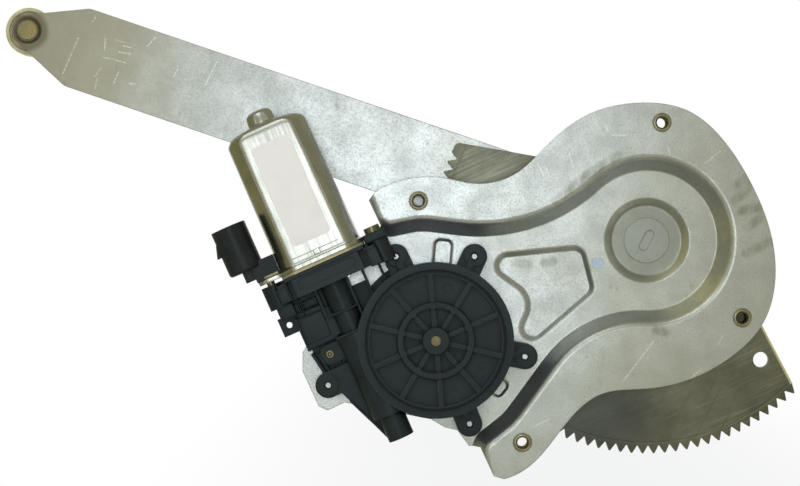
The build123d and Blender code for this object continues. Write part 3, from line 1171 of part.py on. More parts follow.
def connector_body():
    """Round plug socket beside the can, on a bracket pressed over the left can screw's head."""
    start, end = CONNECTOR_SPAN
    barrel = rod(CONNECTOR_RADIUS, start, end, CONNECTOR_SIDE)
    body = fillet(barrel.edges().group_by(Axis.X)[-1], CONNECTOR_ROUNDING)
    half = CONNECTOR_BRACKET_HEIGHT / 2
    top = CAN_END - CONNECTOR_BRACKET_LENGTH
    body += brick((top, CAN_END), CONNECTOR_BRACKET_SIDES, (-half, half))
    edge = CONNECTOR_BRACKET_SIDES[0]
    half = CONNECTOR_FOOT_HEIGHT / 2
    body += brick((top, end + CONNECTOR_FOOT_LENGTH), (edge - CONNECTOR_FOOT_WIDTH, edge), (-half, half))
    root = CONNECTOR_SIDE - CONNECTOR_RADIUS
    latch = make_face(Polyline(
        (CONNECTOR_LATCH_SPAN[0], root), (CONNECTOR_LATCH_SPAN[1], root - CONNECTOR_LATCH_HEIGHT),
        (CONNECTOR_LATCH_SPAN[1], CONNECTOR_SIDE), (CONNECTOR_LATCH_SPAN[0], CONNECTOR_SIDE), close=True))
    body += slab(latch, -CONNECTOR_LATCH_WIDTH / 2, CONNECTOR_LATCH_WIDTH / 2)
    body -= rod(CONNECTOR_RADIUS - CONNECTOR_WALL, start, start + CONNECTOR_SOCKET_DEPTH, CONNECTOR_SIDE)
    body -= rod(CAN_SCREW_HEAD_RADIUS, CAN_END - CAN_SCREW_HEAD, CAN_END, ear_places()[0])
    return body - connector_terminals()


PLATE_PIECES = {
    "mounting_plate": mounting_plate,
    "fixing_nuts": fixing_nuts,
    "pivot_stud": pivot_stud,
    "pivot_washer": pivot_washer,
    "pivot_retainer": pivot_retainer,
    "sector_gear": sector_gear,
    "lift_arm": lift_arm,
    "arm_rivets": arm_rivets,
    "pivot_bush": pivot_bush,
    "roller_stud": roller_stud,
    "roller": roller,
    "drive_pinion": drive_pinion,
}
MOTOR_PIECES = {
    "motor_can": motor_can,
    "can_screws": can_screws,
    "can_bush": lambda: shaft_bush(CAN_BUSH),
    "housing_bush": lambda: shaft_bush(HOUSING_BUSH),
    "end_bush": lambda: shaft_bush(END_BUSH),
    "magnets": magnets,
    "brush_holder": brush_holder,
    "brushes": brushes,
    "brush_springs": brush_springs,
    "armature_shaft": armature_shaft,
    "armature_core": armature_core,
    "armature_windings": armature_windings,
    "commutator": commutator,
    "motor_label": motor_label,
    "gear_housing": gear_housing,
    "gear_cover": gear_cover,
    "cover_seal": cover_seal,
    "thrust_plug": thrust_plug,
    "motor_screws": motor_screws,
    "output_bush": output_bush,
    "shaft_seal": shaft_seal,
    "worm_wheel": worm_wheel,
    "damper": damper,
    "driver_plate": driver_plate,
    "output_shaft": output_shaft,
    "output_circlip": output_circlip,
    "connector_body": connector_body,
    "connector_terminals": connector_terminals,
}

# The part's origin is the upper fixing nut on the flange's front face, with z up and y to the back
PART_FRAME = Pos(-NUT_PLACES[0][0], 0, -NUT_PLACES[0][1]) * Rot(90, 0, 0)

os.makedirs("parts", exist_ok=True)
for name, make in PLATE_PIECES.items():
    export_step(PART_FRAME * make(), f"parts/{name}.step")
for name, make in MOTOR_PIECES.items():
    export_step(PART_FRAME * MOTOR_FRAME * make(), f"parts/{name}.step")
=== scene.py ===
import math
import bmesh
import bpy
import numpy as np
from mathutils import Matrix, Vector


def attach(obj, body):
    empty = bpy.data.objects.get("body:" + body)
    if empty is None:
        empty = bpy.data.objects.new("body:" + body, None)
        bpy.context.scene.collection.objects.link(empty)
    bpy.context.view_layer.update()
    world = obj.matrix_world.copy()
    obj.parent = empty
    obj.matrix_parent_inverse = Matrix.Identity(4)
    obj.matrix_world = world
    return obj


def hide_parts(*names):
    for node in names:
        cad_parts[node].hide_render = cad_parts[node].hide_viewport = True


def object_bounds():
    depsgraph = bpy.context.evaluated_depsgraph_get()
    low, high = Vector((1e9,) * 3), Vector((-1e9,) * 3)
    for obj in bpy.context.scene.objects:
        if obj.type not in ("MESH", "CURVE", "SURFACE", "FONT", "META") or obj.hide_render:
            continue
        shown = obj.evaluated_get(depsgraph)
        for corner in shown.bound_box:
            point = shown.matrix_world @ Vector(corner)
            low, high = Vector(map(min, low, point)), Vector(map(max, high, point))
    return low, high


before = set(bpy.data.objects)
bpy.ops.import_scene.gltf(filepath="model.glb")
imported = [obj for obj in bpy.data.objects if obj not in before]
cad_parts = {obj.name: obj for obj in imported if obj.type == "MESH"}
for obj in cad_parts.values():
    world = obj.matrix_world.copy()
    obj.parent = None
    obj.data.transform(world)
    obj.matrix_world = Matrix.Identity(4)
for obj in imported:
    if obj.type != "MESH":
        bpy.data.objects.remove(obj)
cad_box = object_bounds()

# Mounting plate: one pressing of 1.5 mm steel sheet, zinc plated after pressing. It stays as the solid has
# it. The plating is cloudy on the flats, ticked and smudged by handling, brighter on worn edges, which is
# wear and painted highlight, darker round the pivot dish, darker and warmer towards the right and the bottom
# as painted shade, and warm with painted reflection on the steep walls at the right. A dab of pale blue paint
# marks it as inspected.


class Finish:
    """Node material of one real finish. Patterns are placed by the piece's own Object coordinates, and the
    masks for edges, corners and steep walls follow its surface."""

    def __init__(self, name):
        self.material = bpy.data.materials.new(name)
        self.material.use_nodes = True
        self.tree = self.material.node_tree
        self.shader = self.tree.nodes["Principled BSDF"]
        self.place = self.add("ShaderNodeTexCoord").outputs["Object"]

    def add(self, kind, values=None, **settings):
        """New node with its settings, and its inputs set or linked."""
        node = self.tree.nodes.new(kind)
        for name, value in settings.items():
            setattr(node, name, value)
        for key, value in (values or {}).items():
            self.put(node.inputs[key], value)
        return node

    def put(self, socket, value):
        """Link an output to a socket, or set the socket's constant."""
        if isinstance(value, bpy.types.NodeSocket):
            self.tree.links.new(value, socket)
        else:
            socket.default_value = value

    def grain(self, size, detail=3.0, stretch=(1, 1, 1), turn=(0, 0, 0), shift=(0, 0, 0)):
        """Noise with marks of a size in metres, drawn out along the axes of a turned frame."""
        turn = tuple(math.radians(angle) for angle in turn)
        values = {"Vector": self.place, "Location": shift, "Rotation": turn, "Scale": stretch}
        spot = self.add("ShaderNodeMapping", values, vector_type="TEXTURE").outputs[0]
        values = {"Vector": spot, "Scale": 1 / size, "Detail": detail, "Roughness": 0.6}
        return self.add("ShaderNodeTexNoise", values).outputs["Fac"]

    def step(self, value, low, high, start=0.0, end=1.0):
        """Smooth change from start to end as a value goes from low to high."""
        values = {"Value": value, "From Min": low, "From Max": high, "To Min": start, "To Max": end}
        return self.add("ShaderNodeMapRange", values, interpolation_type="SMOOTHSTEP").outputs[0]

    def blend(self, share, first, second, mode="MIX"):
        """Colour between two, by a share of the second."""
        colours = [c if isinstance(c, bpy.types.NodeSocket) else (*c, 1) for c in (first, second)]
        values = {0: share, 6: colours[0], 7: colours[1]}
        return self.add("ShaderNodeMix", values, data_type="RGBA", blend_type=mode).outputs[2]

    def math(self, operation, first, second=0.0):
        """One sum on two numbers."""
        return self.add("ShaderNodeMath", {0: first, 1: second}, operation=operation).outputs[0]

    def over(self, colour, mask, share, shade):
        """Colour with a shade laid over it, by a share of a mask."""
        return self.blend(self.math("MULTIPLY", mask, share), colour, shade)

    def dot(self, first, second):
        """Dot product of two directions."""
        node = self.add("ShaderNodeVectorMath", {0: first, 1: second}, operation="DOT_PRODUCT")
        return node.outputs["Value"]

    def rounded(self, radius):
        """Normal that rounds sharp edges over a radius, and a mask that is high along them."""
        soft = self.add("ShaderNodeBevel", {"Radius": radius}, samples=6).outputs[0]
        flat = self.add("ShaderNodeNewGeometry").outputs["Normal"]
        return soft, self.step(self.dot(soft, flat), 0.8, 0.995, 1.0, 0.0)

    def hollow_shade(self, distance):
        """Mask that is high in corners and crevices narrower than a distance. It comes from ambient
        occlusion, so what it darkens is painted shade, along with grime.
        """
        values = {"Distance": distance}
        open_share = self.add("ShaderNodeAmbientOcclusion", values, samples=6, only_local=True).outputs["AO"]
        return self.step(open_share, 0.25, 0.95, 1.0, 0.0)

    def offset(self, centre):
        """Offset from a point, seen along Y."""
        offset = self.add("ShaderNodeVectorMath", {0: self.place, 1: centre}, operation="SUBTRACT").outputs[0]
        return self.add("ShaderNodeVectorMath", {0: offset, 1: (1, 0, 1)}, operation="MULTIPLY").outputs[0]

    def radius(self, centre):
        """Distance from an axis along Y through a point."""
        return self.add("ShaderNodeVectorMath", {0: self.offset(centre)}, operation="LENGTH").outputs["Value"]

    def stroke(self, start, end, width):
        """Mask that is high within a width of a straight line between two places, in mm, seen along Y."""
        start, end = (Vector((x, 0, z)) / 1000 for x, z in (start, end))
        run = end - start
        flat = self.offset(start)
        along = self.dot(flat, run / run.length_squared)
        share = self.math("MINIMUM", self.math("MAXIMUM", along, 0.0), 1.0)
        values = {0: run, "Scale": share}
        nearest = self.add("ShaderNodeVectorMath", values, operation="SCALE").outputs[0]
        gap = self.add("ShaderNodeVectorMath", {0: flat, 1: nearest}, operation="DISTANCE").outputs["Value"]
        return self.step(gap, 0.3 * width / 1000, width / 1000, 1.0, 0.0)

    def close(self, colour, roughness, normal, heights, **sockets):
        """Set the shader: colour, roughness, bumps as (height, depth in metres) and constant sockets."""
        for height, depth in heights:
            values = {"Height": height, "Normal": normal, "Strength": 1.0, "Distance": depth}
            normal = self.add("ShaderNodeBump", values).outputs[0]
        self.put(self.shader.inputs["Base Color"], colour)
        self.put(self.shader.inputs["Roughness"], roughness)
        self.put(self.shader.inputs["Normal"], normal)
        for name, value in sockets.items():
            self.shader.inputs[name.replace("_", " ").title().replace("Ior", "IOR")].default_value = value
        return self.material


join_distance = 1e-6
sharp_angle = math.radians(28)


def dress(material, *names):
    """Give CAD nodes a finish, with their loose triangles joined and shaded smooth up to sharp edges."""
    for name in names:
        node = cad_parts[name]
        node.data.materials.clear()
        node.data.materials.append(material)
        node.data.polygons.foreach_set("use_smooth", np.ones(len(node.data.polygons), dtype=bool))
        node.modifiers.new("join triangles", "WELD").merge_threshold = join_distance
        node.modifiers.new("keep sharp edges", "EDGE_SPLIT").split_angle = sharp_angle
        node.modifiers.new("flats lead the shading", "WEIGHTED_NORMAL").keep_sharp = True


tick_width, smudge_width = 0.5, 3.4


def zinc_plating(name, scratch_turn, ticks=(), smudges=(), dark_zones=(), fleck=0.5, wall_glints=()):
    """Bright zinc on sheet steel: grey mottle and flecks, olive stains, dark scuffs, white scratches, and
    worn edges made brighter still by painted highlight. At given places it is darker round a centre, warm
    where reflection is painted on steep walls, and has white ticks and dark smudges."""
    f = Finish(name)
    normal, edge = f.rounded(0.0006)
    cloud = f.grain(0.014, 6)
    speckle = f.grain(0.0009, 4, shift=(0.3, 0.1, 0))
    scratch = f.grain(0.0006, 3, (22, 1, 1), (0, scratch_turn, 0))
    cross = f.grain(0.0008, 2, (1, 1, 26), (0, scratch_turn + 31, 0))
    stain = f.step(f.grain(0.05, 5, shift=(0.7, 0, 0.2)), 0.48, 0.74)
    scuff = f.grain(0.004, 5, (3, 1, 1), (0, scratch_turn + 60, 0), (0.4, 0, 0.9))
    colour = f.blend(f.step(cloud, 0.3, 0.7), (0.53, 0.56, 0.58), (0.66, 0.69, 0.715))
    colour = f.over(colour, stain, 0.30, (0.47, 0.46, 0.36))
    colour = f.blend(f.step(speckle, 0.44, 0.70, 0.0, fleck), colour, (0.36, 0.36, 0.34))
    colour = f.over(colour, f.step(scuff, 0.64, 0.74), 0.5, (0.24, 0.23, 0.20))
    colour = f.blend(f.step(scratch, 0.64, 0.76, 0.0, 0.6), colour, (0.88, 0.88, 0.87))
    colour = f.blend(f.step(cross, 0.67, 0.78, 0.0, 0.55), colour, (0.86, 0.86, 0.85))
    # Edges lightened: wear, and painted highlight.
    colour = f.over(colour, edge, 0.45, (0.82, 0.82, 0.80))
    # Darker round given centres.
    for centre, reach, share, shade in dark_zones:
        ragged = f.math("ADD", f.radius(centre), f.math("MULTIPLY", cloud, 0.2 * reach))
        colour = f.blend(f.step(ragged, 0.9 * reach, 1.25 * reach, share, 0.0), colour, shade)
    # Painted reflection: warm glints on the steep walls near a centre.
    for centre, reach in wall_glints:
        facing = f.dot(f.add("ShaderNodeNewGeometry").outputs["Normal"], (0, 1, 0))
        steep = f.step(f.math("ABSOLUTE", facing), 0.70, 0.95, 1.0, 0.0)
        near = f.step(f.radius(centre), 0.35 * reach, reach, 0.9, 0.0)
        near = f.math("MULTIPLY", near, f.step(cloud, 0.35, 0.65, 0.35, 0.85))
        colour = f.over(colour, steep, near, (0.92, 0.86, 0.52))
    broken, patchy = f.step(speckle, 0.40, 0.62, 0.1, 0.7), f.step(scuff, 0.30, 0.70, 0.12, 0.68)
    for mark in ticks:
        colour = f.over(colour, f.stroke(*mark, tick_width), broken, (0.90, 0.90, 0.89))
    for mark in smudges:
        colour = f.over(colour, f.stroke(*mark, smudge_width), patchy, (0.25, 0.25, 0.20))
    rough = f.step(cloud, 0.25, 0.75, 0.33, 0.27)
    rough = f.math("ADD", rough, f.step(speckle, 0.4, 0.8, 0.0, 0.10))
    return f.close(colour, rough, normal, [(scratch, 0.00003), (speckle, 0.00003)], metallic=0.88)


handling_ticks = [
    ((-33.1, -0.0), (-30.2, -3.5)), ((-27.8, -1.8), (-26.7, -4.1)), ((-24.9, -6.2), (-18.0, -6.4)),
    ((-45.9, -15.1), (-43.8, -22.1)), ((-61.5, -20.3), (-58.6, -26.2)), ((-42.4, -25.0), (-40.6, -30.8)),
    ((-69.1, -36.0), (-67.4, -40.1)), ((2.9, -12.2), (3.9, -15.7)), ((21.0, -20.3), (28.5, -14.0)),
    ((-63.3, -149.9), (-56.3, -146.4)), ((-19.1, -127.3), (-4.0, -107.5)),
    ((14.0, -126.1), (19.2, -121.5)), ((27.6, -109.3), (29.7, -105.2)),
]
press_smudges = [
    ((35.5, -38.9), (47.1, -27.9)), ((37.8, -30.8), (45.4, -23.8)), ((41.9, -51.7), (51.8, -44.8)),
    ((41.3, -64.5), (52.9, -58.7)), ((39.0, -43.6), (48.3, -41.5)), ((-69.7, -69.5), (-65.0, -70.1)),
    ((-56.9, -69.2), (-52.8, -68.6)), ((-2.9, -102.3), (1.8, -103.4)), ((-51.7, -38.4), (-40.1, -28.5)),
    ((-37.7, -26.2), (-21.5, -16.3)),
]
pivot = (-0.0061, 0, -0.0581)
# Darker round the pivot dish.
dish_dark_zone = (pivot, 0.019, 0.75, (0.28, 0.29, 0.26))
# Painted shade: the plate darker and warmer towards its right and towards its bottom.
right_painted_shade = ((0.075, 0, -0.09), 0.115, 0.32, (0.38, 0.37, 0.26))
lower_painted_shade = ((-0.03, 0, -0.20), 0.095, 0.35, (0.38, 0.38, 0.31))
plate_dark_zones = [right_painted_shade, lower_painted_shade, dish_dark_zone]
# Painted reflection of a warm surround on the steep walls at the right of the pan.
plate_wall_glints = [((0.034, 0, -0.075), 0.052)]
plate_zinc = zinc_plating(
    "zinc plated sheet", 30, handling_ticks, press_smudges, plate_dark_zones, wall_glints=plate_wall_glints)
dress(plate_zinc, "mounting_plate")
frame_origin = np.array([6.1, 58.1])


def from_pivot(x, y, height):
    """Part frame, in metres, from millimetres right of, above and in front of the pivot."""
    return np.stack([x - frame_origin[0], -height + 0 * x, y - frame_origin[1]], axis=-1) / 1000


def skin(name, grid, material, body="plate", wrapped=False):
    """Closed surface from loops of points: quads join each loop to the next, and flat lids, or a wrap
    from the last loop to the first, close it."""
    index = np.arange(grid.shape[0] * grid.shape[1]).reshape(grid.shape[:2])
    below = index if wrapped else index[:-1]
    above = np.roll(index, -1, axis=0) if wrapped else index[1:]
    quads = np.stack([below, np.roll(below, -1, 1), np.roll(above, -1, 1), above], axis=-1)
    lids = [] if wrapped else [index[0, ::-1].tolist(), index[-1].tolist()]
    mesh = bpy.data.meshes.new(name)
    mesh.from_pydata(grid.reshape(-1, 3).tolist(), [], quads.reshape(-1, 4).tolist() + lids)
    shell = bmesh.new()
    shell.from_mesh(mesh)
    bmesh.ops.recalc_face_normals(shell, faces=shell.faces)
    shell.to_mesh(mesh)
    shell.free()
    mesh.polygons.foreach_set("use_smooth", np.ones(len(mesh.polygons), dtype=bool))
    mesh.materials.append(material)
    piece = bpy.data.objects.new(name, mesh)
    bpy.context.scene.collection.objects.link(piece)
    piece.modifiers.new("keep sharp edges", "EDGE_SPLIT").split_angle = sharp_angle
    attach(piece, body)
    return piece


def paint_spot(centre, radius, level):
    """Dab of paint: a circle with two gentle ripples, drawn in loop by loop as it rises to a low crown."""
    turn = np.linspace(0, 2 * math.pi, 48, endpoint=False)
    reach = radius * (1 + 0.05 * np.sin(3 * turn) + 0.03 * np.sin(5 * turn + 1))
    share = np.array([1.0, 0.97, 0.88, 0.6, 0.2])[:, None]
    rise = level + np.array([-0.02, 0.05, 0.08, 0.10, 0.11])[:, None]
    x, y = centre[0] + share * reach * np.cos(turn), centre[1] + share * reach * np.sin(turn)
    return from_pivot(x, y, rise)


def marking_paint():
    """Pale blue inspection paint, thin enough at its edge for the zinc to grey it."""
    f = Finish("pale blue marking paint")
    streak = f.grain(0.0012, 3, (3, 1, 1), (0, 35, 0))
    colour = f.blend(f.step(streak, 0.35, 0.7), (0.45, 0.55, 0.62), (0.55, 0.63, 0.67))
    normal, edge = f.rounded(0.0003)
    colour = f.over(colour, edge, 0.3, (0.45, 0.50, 0.53))
    return f.close(colour, f.step(streak, 0.3, 0.7, 0.35, 0.5), normal, [(streak, 0.00003)])


skin("paint_spot", paint_spot((-24.5, -11.3), 3.0, -10.0), marking_paint())

# Fixing nuts: turned steel press nuts with an M6 thread, zinc plated and yellow passivated, pressed
# into the flange from behind so that only the end of the spigot shows in front. Turned pieces with thread
# rings, a knurled barrel and a yellow rim take the place of the solid's plain nuts.


def passivation(name, warm, cool):
    """Yellow chromate film over zinc: gold with pinkish and greenish drifts, darkened in corners by grime and
    painted shade, and brighter at the edges as painted highlight.
    """
    f = Finish(name)
    normal, edge = f.rounded(0.0003)
    drift = f.grain(0.005, 4)
    fine = f.grain(0.0006, 3)
    colour = f.blend(f.step(drift, 0.35, 0.65), warm, cool)
    # Grime and painted shade in corners and crevices.
    colour = f.over(colour, f.hollow_shade(0.003), 0.7, (0.10, 0.08, 0.05))
    # Painted highlight along the edges.
    colour = f.over(colour, edge, 0.5, (0.85, 0.78, 0.62))
    return f.close(colour, f.step(fine, 0.3, 0.7, 0.24, 0.40), normal, [(fine, 0.00002)], metallic=1.0)


knurl_count, knurl_depth = 30, 0.25


def press_nut(place, section):
    """Turned nut: a closed section of radii and heights carried round an axis along Y. Where the
    section's third value asks for a knurl, the radius falls and rises as a cosine round the barrel."""
    turn = np.linspace(0, 2 * math.pi, 120, endpoint=False)
    radius, height, knurl = np.array(section, float).T[:, :, None]
    radius = radius - knurl_depth * knurl * (0.5 + 0.5 * np.cos(knurl_count * turn))
    x, y = place[0] + radius * np.cos(turn), place[1] + radius * np.sin(turn)
    return from_pivot(x, y, height)


minor_radius, thread_depth = 2.5, 0.3
thread_levels = np.arange(-0.9, -8.6, -0.5)
thread_radii = minor_radius + thread_depth * (np.arange(len(thread_levels)) % 2)
thread = np.stack([thread_radii, thread_levels, 0 * thread_levels], axis=-1)
nut_outside = [
    (2.6, -9.0, 0), (4.6, -9.0, 0), (5.0, -8.7, 1), (5.0, -3.1, 1), (6.3, -3.0, 0), (6.5, -2.8, 0),
    (6.5, -1.5, 0), (4.6, -1.5, 0), (4.6, -0.1, 0), (4.15, 0.2, 0), (4.05, 0.36, 0), (3.95, 0.4, 0),
    (3.5, 0.4, 0), (3.35, 0.3, 0), (2.7, -0.6, 0)]
nut_section = np.concatenate([nut_outside, thread])
ring_section = [(4.1, -0.1, 0), (4.6, -0.1, 0), (4.6, 0.3, 0), (4.5, 0.4, 0), (4.3, 0.4, 0), (4.2, 0.3, 0)]
nut_grey = passivation("drab passivated nut", (0.40, 0.36, 0.25), (0.36, 0.37, 0.29))
nut_gold = passivation("yellow passivated rim", (0.40, 0.30, 0.20), (0.36, 0.33, 0.24))
dress(nut_grey, "fixing_nuts")
nut_places = {"top": frame_origin, "right": (45.7, -38.2), "bottom": (-62.7, -99.7), "left": (-114.0, 19.5)}
for name, place in nut_places.items():
    nut, rim = press_nut(place, nut_section), press_nut(place, ring_section)
    nut = skin("press_nut_" + name, nut, nut_grey, wrapped=True)
    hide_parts("fixing_nuts")
    skin("nut_rim_" + name, rim, nut_gold, wrapped=True)

# Pivot: a turned stud riveted into the dish, a thrust washer, a bronze bush in the arm and a retainer
# plate behind. The slotted head is zinc plated and scuffed by the riveting tool.


def bare_steel(name, light, dark, shine):
    """Machined or rolled steel without a coating: fine turning grain, corners darkened by oil and painted
    shade, and edges lightened as painted highlight.
    """
    f = Finish(name)
    normal, edge = f.rounded(0.0003)
    grain = f.grain(0.0009, 4, (1, 1, 6))
    oil = f.grain(0.012, 4)
    colour = f.blend(f.step(oil, 0.3, 0.7), light, dark)
    # Oil and painted shade in the corners.
    colour = f.over(colour, f.hollow_shade(0.0025), 0.6, (0.06, 0.055, 0.04))
    # Painted highlight along the edges.
    colour = f.over(colour, edge, 0.5, (0.70, 0.70, 0.68))
    rough = f.step(grain, 0.3, 0.7, shine, shine + 0.14)
    return f.close(colour, rough, normal, [(grain, 0.00002)], metallic=1.0)


def sintered_bronze(name):
    """Oil-filled porous bronze: warm brown with dark pores, and edges lightened as painted highlight."""
    f = Finish(name)
    normal, edge = f.rounded(0.0003)
    pore = f.grain(0.0004, 3)
    colour = f.blend(f.step(pore, 0.35, 0.6), (0.22, 0.14, 0.06), (0.52, 0.36, 0.17))
    # Painted highlight along the edges.
    colour = f.over(colour, edge, 0.4, (0.70, 0.52, 0.28))
    return f.close(colour, f.step(pore, 0.3, 0.7, 0.45, 0.30), normal, [(pore, 0.00004)], metallic=1.0)


stud_zinc = zinc_plating("zinc plated stud", 62, dark_zones=[dish_dark_zone])
plain_steel = bare_steel("plain oiled steel", (0.34, 0.34, 0.35), (0.22, 0.22, 0.21), 0.34)
bearing_bronze = sintered_bronze("sintered bronze")
dress(stud_zinc, "pivot_stud")
dress(plain_steel, "pivot_washer", "pivot_retainer")
dress(bearing_bronze, "pivot_bush")

# Toothed sector: fine-blanked from 3 mm steel and left bare, so it is browner and darker than the plated
# parts. It has long brushing marks, a faint coined arc inside the teeth, grease in the tooth gaps, a
# blue-black patch at the lower left, edges lightened as painted highlight and a painted highlight along the
# cut edge at the right.
coined_arc = 0.1013
blued_patch = (-0.036, 0, -0.145)
# Painted highlight along the right cut edge, and its width in mm.
cut_edge_glint, cut_edge_glint_width = ((52.7, -101.2), (67.1, -129.1)), 1.5


def brushed_sector():
    """Bare rolled steel with crossed brushing, a coined arc about the pivot, a blued patch, edges lightened
    as painted highlight and a painted highlight along a cut edge.
    """
    f = Finish("bare brushed sector steel")
    normal, edge = f.rounded(0.0004)
    radius = f.radius(pivot)
    brush = f.grain(0.0008, 4, (40, 1, 1), (0, -25, 0))
    cross = f.grain(0.0012, 3, (30, 1, 1), (0, -62, 0), (0.2, 0, 0.4))
    oil = f.grain(0.03, 5)
    line = f.math("ABSOLUTE", f.math("SUBTRACT", radius, coined_arc))
    line = f.step(line, 0.00025, 0.0007, 1.0, 0.0)
    grease = f.step(f.math("ADD", radius, f.math("MULTIPLY", oil, 0.004)), 0.1032, 0.1072)
    colour = f.blend(f.step(oil, 0.3, 0.7), (0.145, 0.148, 0.115), (0.24, 0.24, 0.195))
    colour = f.blend(f.step(brush, 0.52, 0.74, 0.0, 0.45), colour, (0.40, 0.39, 0.33))
    colour = f.blend(f.step(cross, 0.55, 0.75, 0.0, 0.4), colour, (0.10, 0.095, 0.06))
    colour = f.over(colour, line, 0.15, (0.08, 0.075, 0.05))
    colour = f.over(colour, grease, 0.35, (0.12, 0.11, 0.06))
    blued = f.step(f.radius(blued_patch), 0.012, 0.055, 0.6, 0.0)
    colour = f.blend(blued, colour, (0.055, 0.065, 0.08))
    # Painted highlight along the edges.
    colour = f.over(colour, edge, 0.6, (0.66, 0.65, 0.58))
    # Painted highlight: a bright yellow-white line along the right cut edge.
    colour = f.over(colour, f.stroke(*cut_edge_glint, cut_edge_glint_width), 0.85, (0.95, 0.88, 0.50))
    rough = f.step(brush, 0.3, 0.7, 0.30, 0.46)
    dent = f.math("MULTIPLY", line, -1.0)
    return f.close(colour, rough, normal, [(brush, 0.00003), (dent, 0.00004)], metallic=1.0)


dress(brushed_sector(), "sector_gear")

# Lift arm: a flat blank of 3 mm steel, zinc plated like the plate, ticked by handling, duller and browner
# towards the tip, with painted shade in the dimple at the tip. Three zinc plated rivets hold it to the
# sector.
arm_tip = (-0.3166, 0, 0.0476)
# Darker and browner towards the tip. The smallest zone is painted shade in the dimple round the roller stud.
arm_dark_zones = [
    (arm_tip, 0.40, 0.20, (0.42, 0.43, 0.43)), (arm_tip, 0.13, 0.34, (0.40, 0.41, 0.40)),
    (arm_tip, 0.058, 0.26, (0.37, 0.31, 0.16)), (arm_tip, 0.088, 0.26, (0.37, 0.32, 0.18)),
    (arm_tip, 0.0105, 0.7, (0.16, 0.13, 0.07))]
arm_ticks = [
    ((-291.0, 43.7), (-298.9, 25.4)), ((-252.2, 43.9), (-256.1, 39.6)), ((-284.0, 51.9), (-282.3, 53.9)),
    ((-278.6, 33.9), (-272.8, 33.0)), ((-272.1, 32.5), (-267.0, 31.2)), ((-271.8, 42.6), (-266.4, 41.1)),
    ((-268.3, 39.7), (-264.1, 38.8)), ((-270.5, 36.7), (-264.3, 35.6)), ((-282.8, 24.4), (-279.6, 28.5)),
    ((-282.5, 18.6), (-281.5, 23.4)), ((-273.4, 20.3), (-270.7, 26.5)), ((-265.3, 20.8), (-262.3, 20.4)),
    ((-227.2, 19.9), (-221.4, 31.5)), ((-243.2, 24.2), (-240.7, 28.3)), ((-277.3, 45.0), (-277.7, 37.8)),
]
arm_zinc = zinc_plating("zinc plated arm", 18, arm_ticks, dark_zones=arm_dark_zones, fleck=0.22)
rivet_zinc = zinc_plating("zinc plated rivet", 0)
dress(arm_zinc, "lift_arm")
dress(rivet_zinc, "arm_rivets")

# Roller: turned from natural nylon and greased, running on a shouldered steel stud that is yellow
# passivated and riveted into the dimple at the tip of the arm.


def greased_nylon():
    """Natural nylon yellowed by age, with grease worked into its surface, corners darkened by grease and
    painted shade, and edges lightened as painted highlight.
    """
    f = Finish("natural nylon")
    normal, edge = f.rounded(0.0006)
    stain = f.grain(0.006, 5)
    fine = f.grain(0.0007, 3)
    colour = f.blend(f.step(stain, 0.35, 0.7), (0.66, 0.60, 0.36), (0.50, 0.44, 0.22))
    # Grease and painted shade in the corners.
    colour = f.over(colour, f.hollow_shade(0.002), 0.6, (0.20, 0.17, 0.08))
    # Painted highlight along the edges.
    colour = f.over(colour, edge, 0.35, (0.82, 0.78, 0.58))
    rough = f.step(fine, 0.3, 0.7, 0.30, 0.46)
    depth = (0.003, 0.002, 0.001)
    return f.close(
        colour, rough, normal, [(fine, 0.00004)], subsurface_weight=0.12, subsurface_radius=depth)


stud_yellow = passivation("yellow passivated stud", (0.42, 0.35, 0.19), (0.33, 0.30, 0.17))
dress(greased_nylon(), "roller")
dress(stud_yellow, "roller_stud")

# Motor can: deep drawn from steel strip and nickel bright, with flats front and back and a domed end. A
# drawn shell takes the solid's place. Its eared flange is clamped on a tan card by two slotted screws,
# and a paper label is stuck on the front flat.
motor_angle = math.radians(-66.05)
streak_turn = -23.95
motor_foot = np.array([-137.35, -62.67])
worm_level = 4.0


def from_motor(along, across, height):
    """Part frame, in metres, from millimetres along, across and above the motor's shaft."""
    x = motor_foot[0] + along * math.cos(motor_angle) - across * math.sin(motor_angle)
    y = motor_foot[1] + along * math.sin(motor_angle) + across * math.cos(motor_angle)
    return from_pivot(x, y, worm_level + height)


def drawn_can():
    """Bright drawn steel: streaks along the drawing direction, small dents, faint handling marks and edges
    lightened as painted highlight.
    """
    f = Finish("bright drawn can steel")
    normal, edge = f.rounded(0.0005)
    streak = f.grain(0.0012, 4, (1, 1, 30), (0, streak_turn, 0))
    cloud = f.grain(0.016, 4)
    colour = f.blend(f.step(cloud, 0.3, 0.7), (0.50, 0.50, 0.48), (0.62, 0.62, 0.60))
    colour = f.blend(f.step(streak, 0.5, 0.75, 0.0, 0.4), colour, (0.42, 0.41, 0.35))
    # Painted highlight along the edges.
    colour = f.over(colour, edge, 0.4, (0.88, 0.87, 0.82))
    rough = f.step(streak, 0.3, 0.7, 0.20, 0.32)
    return f.close(colour, rough, normal, [(streak, 0.00001), (cloud, 0.00004)], metallic=1.0)


def label_paper():
    """Coated off-white paper: fibre mottle, thumbed grey corners and a faint gloss."""
    f = Finish("blank paper label")
    normal, edge = f.rounded(0.0002)
    fibre = f.grain(0.0007, 4)
    smudge = f.grain(0.012, 4)
    colour = f.blend(f.step(smudge, 0.4, 0.75), (0.93, 0.89, 0.81), (0.88, 0.84, 0.76))
    colour = f.blend(f.step(fibre, 0.4, 0.7, 0.0, 0.3), colour, (0.95, 0.91, 0.85))
    colour = f.over(colour, edge, 0.6, (0.55, 0.54, 0.50))
    return f.close(colour, f.step(fibre, 0.3, 0.7, 0.45, 0.6), normal, [(fibre, 0.00002)])


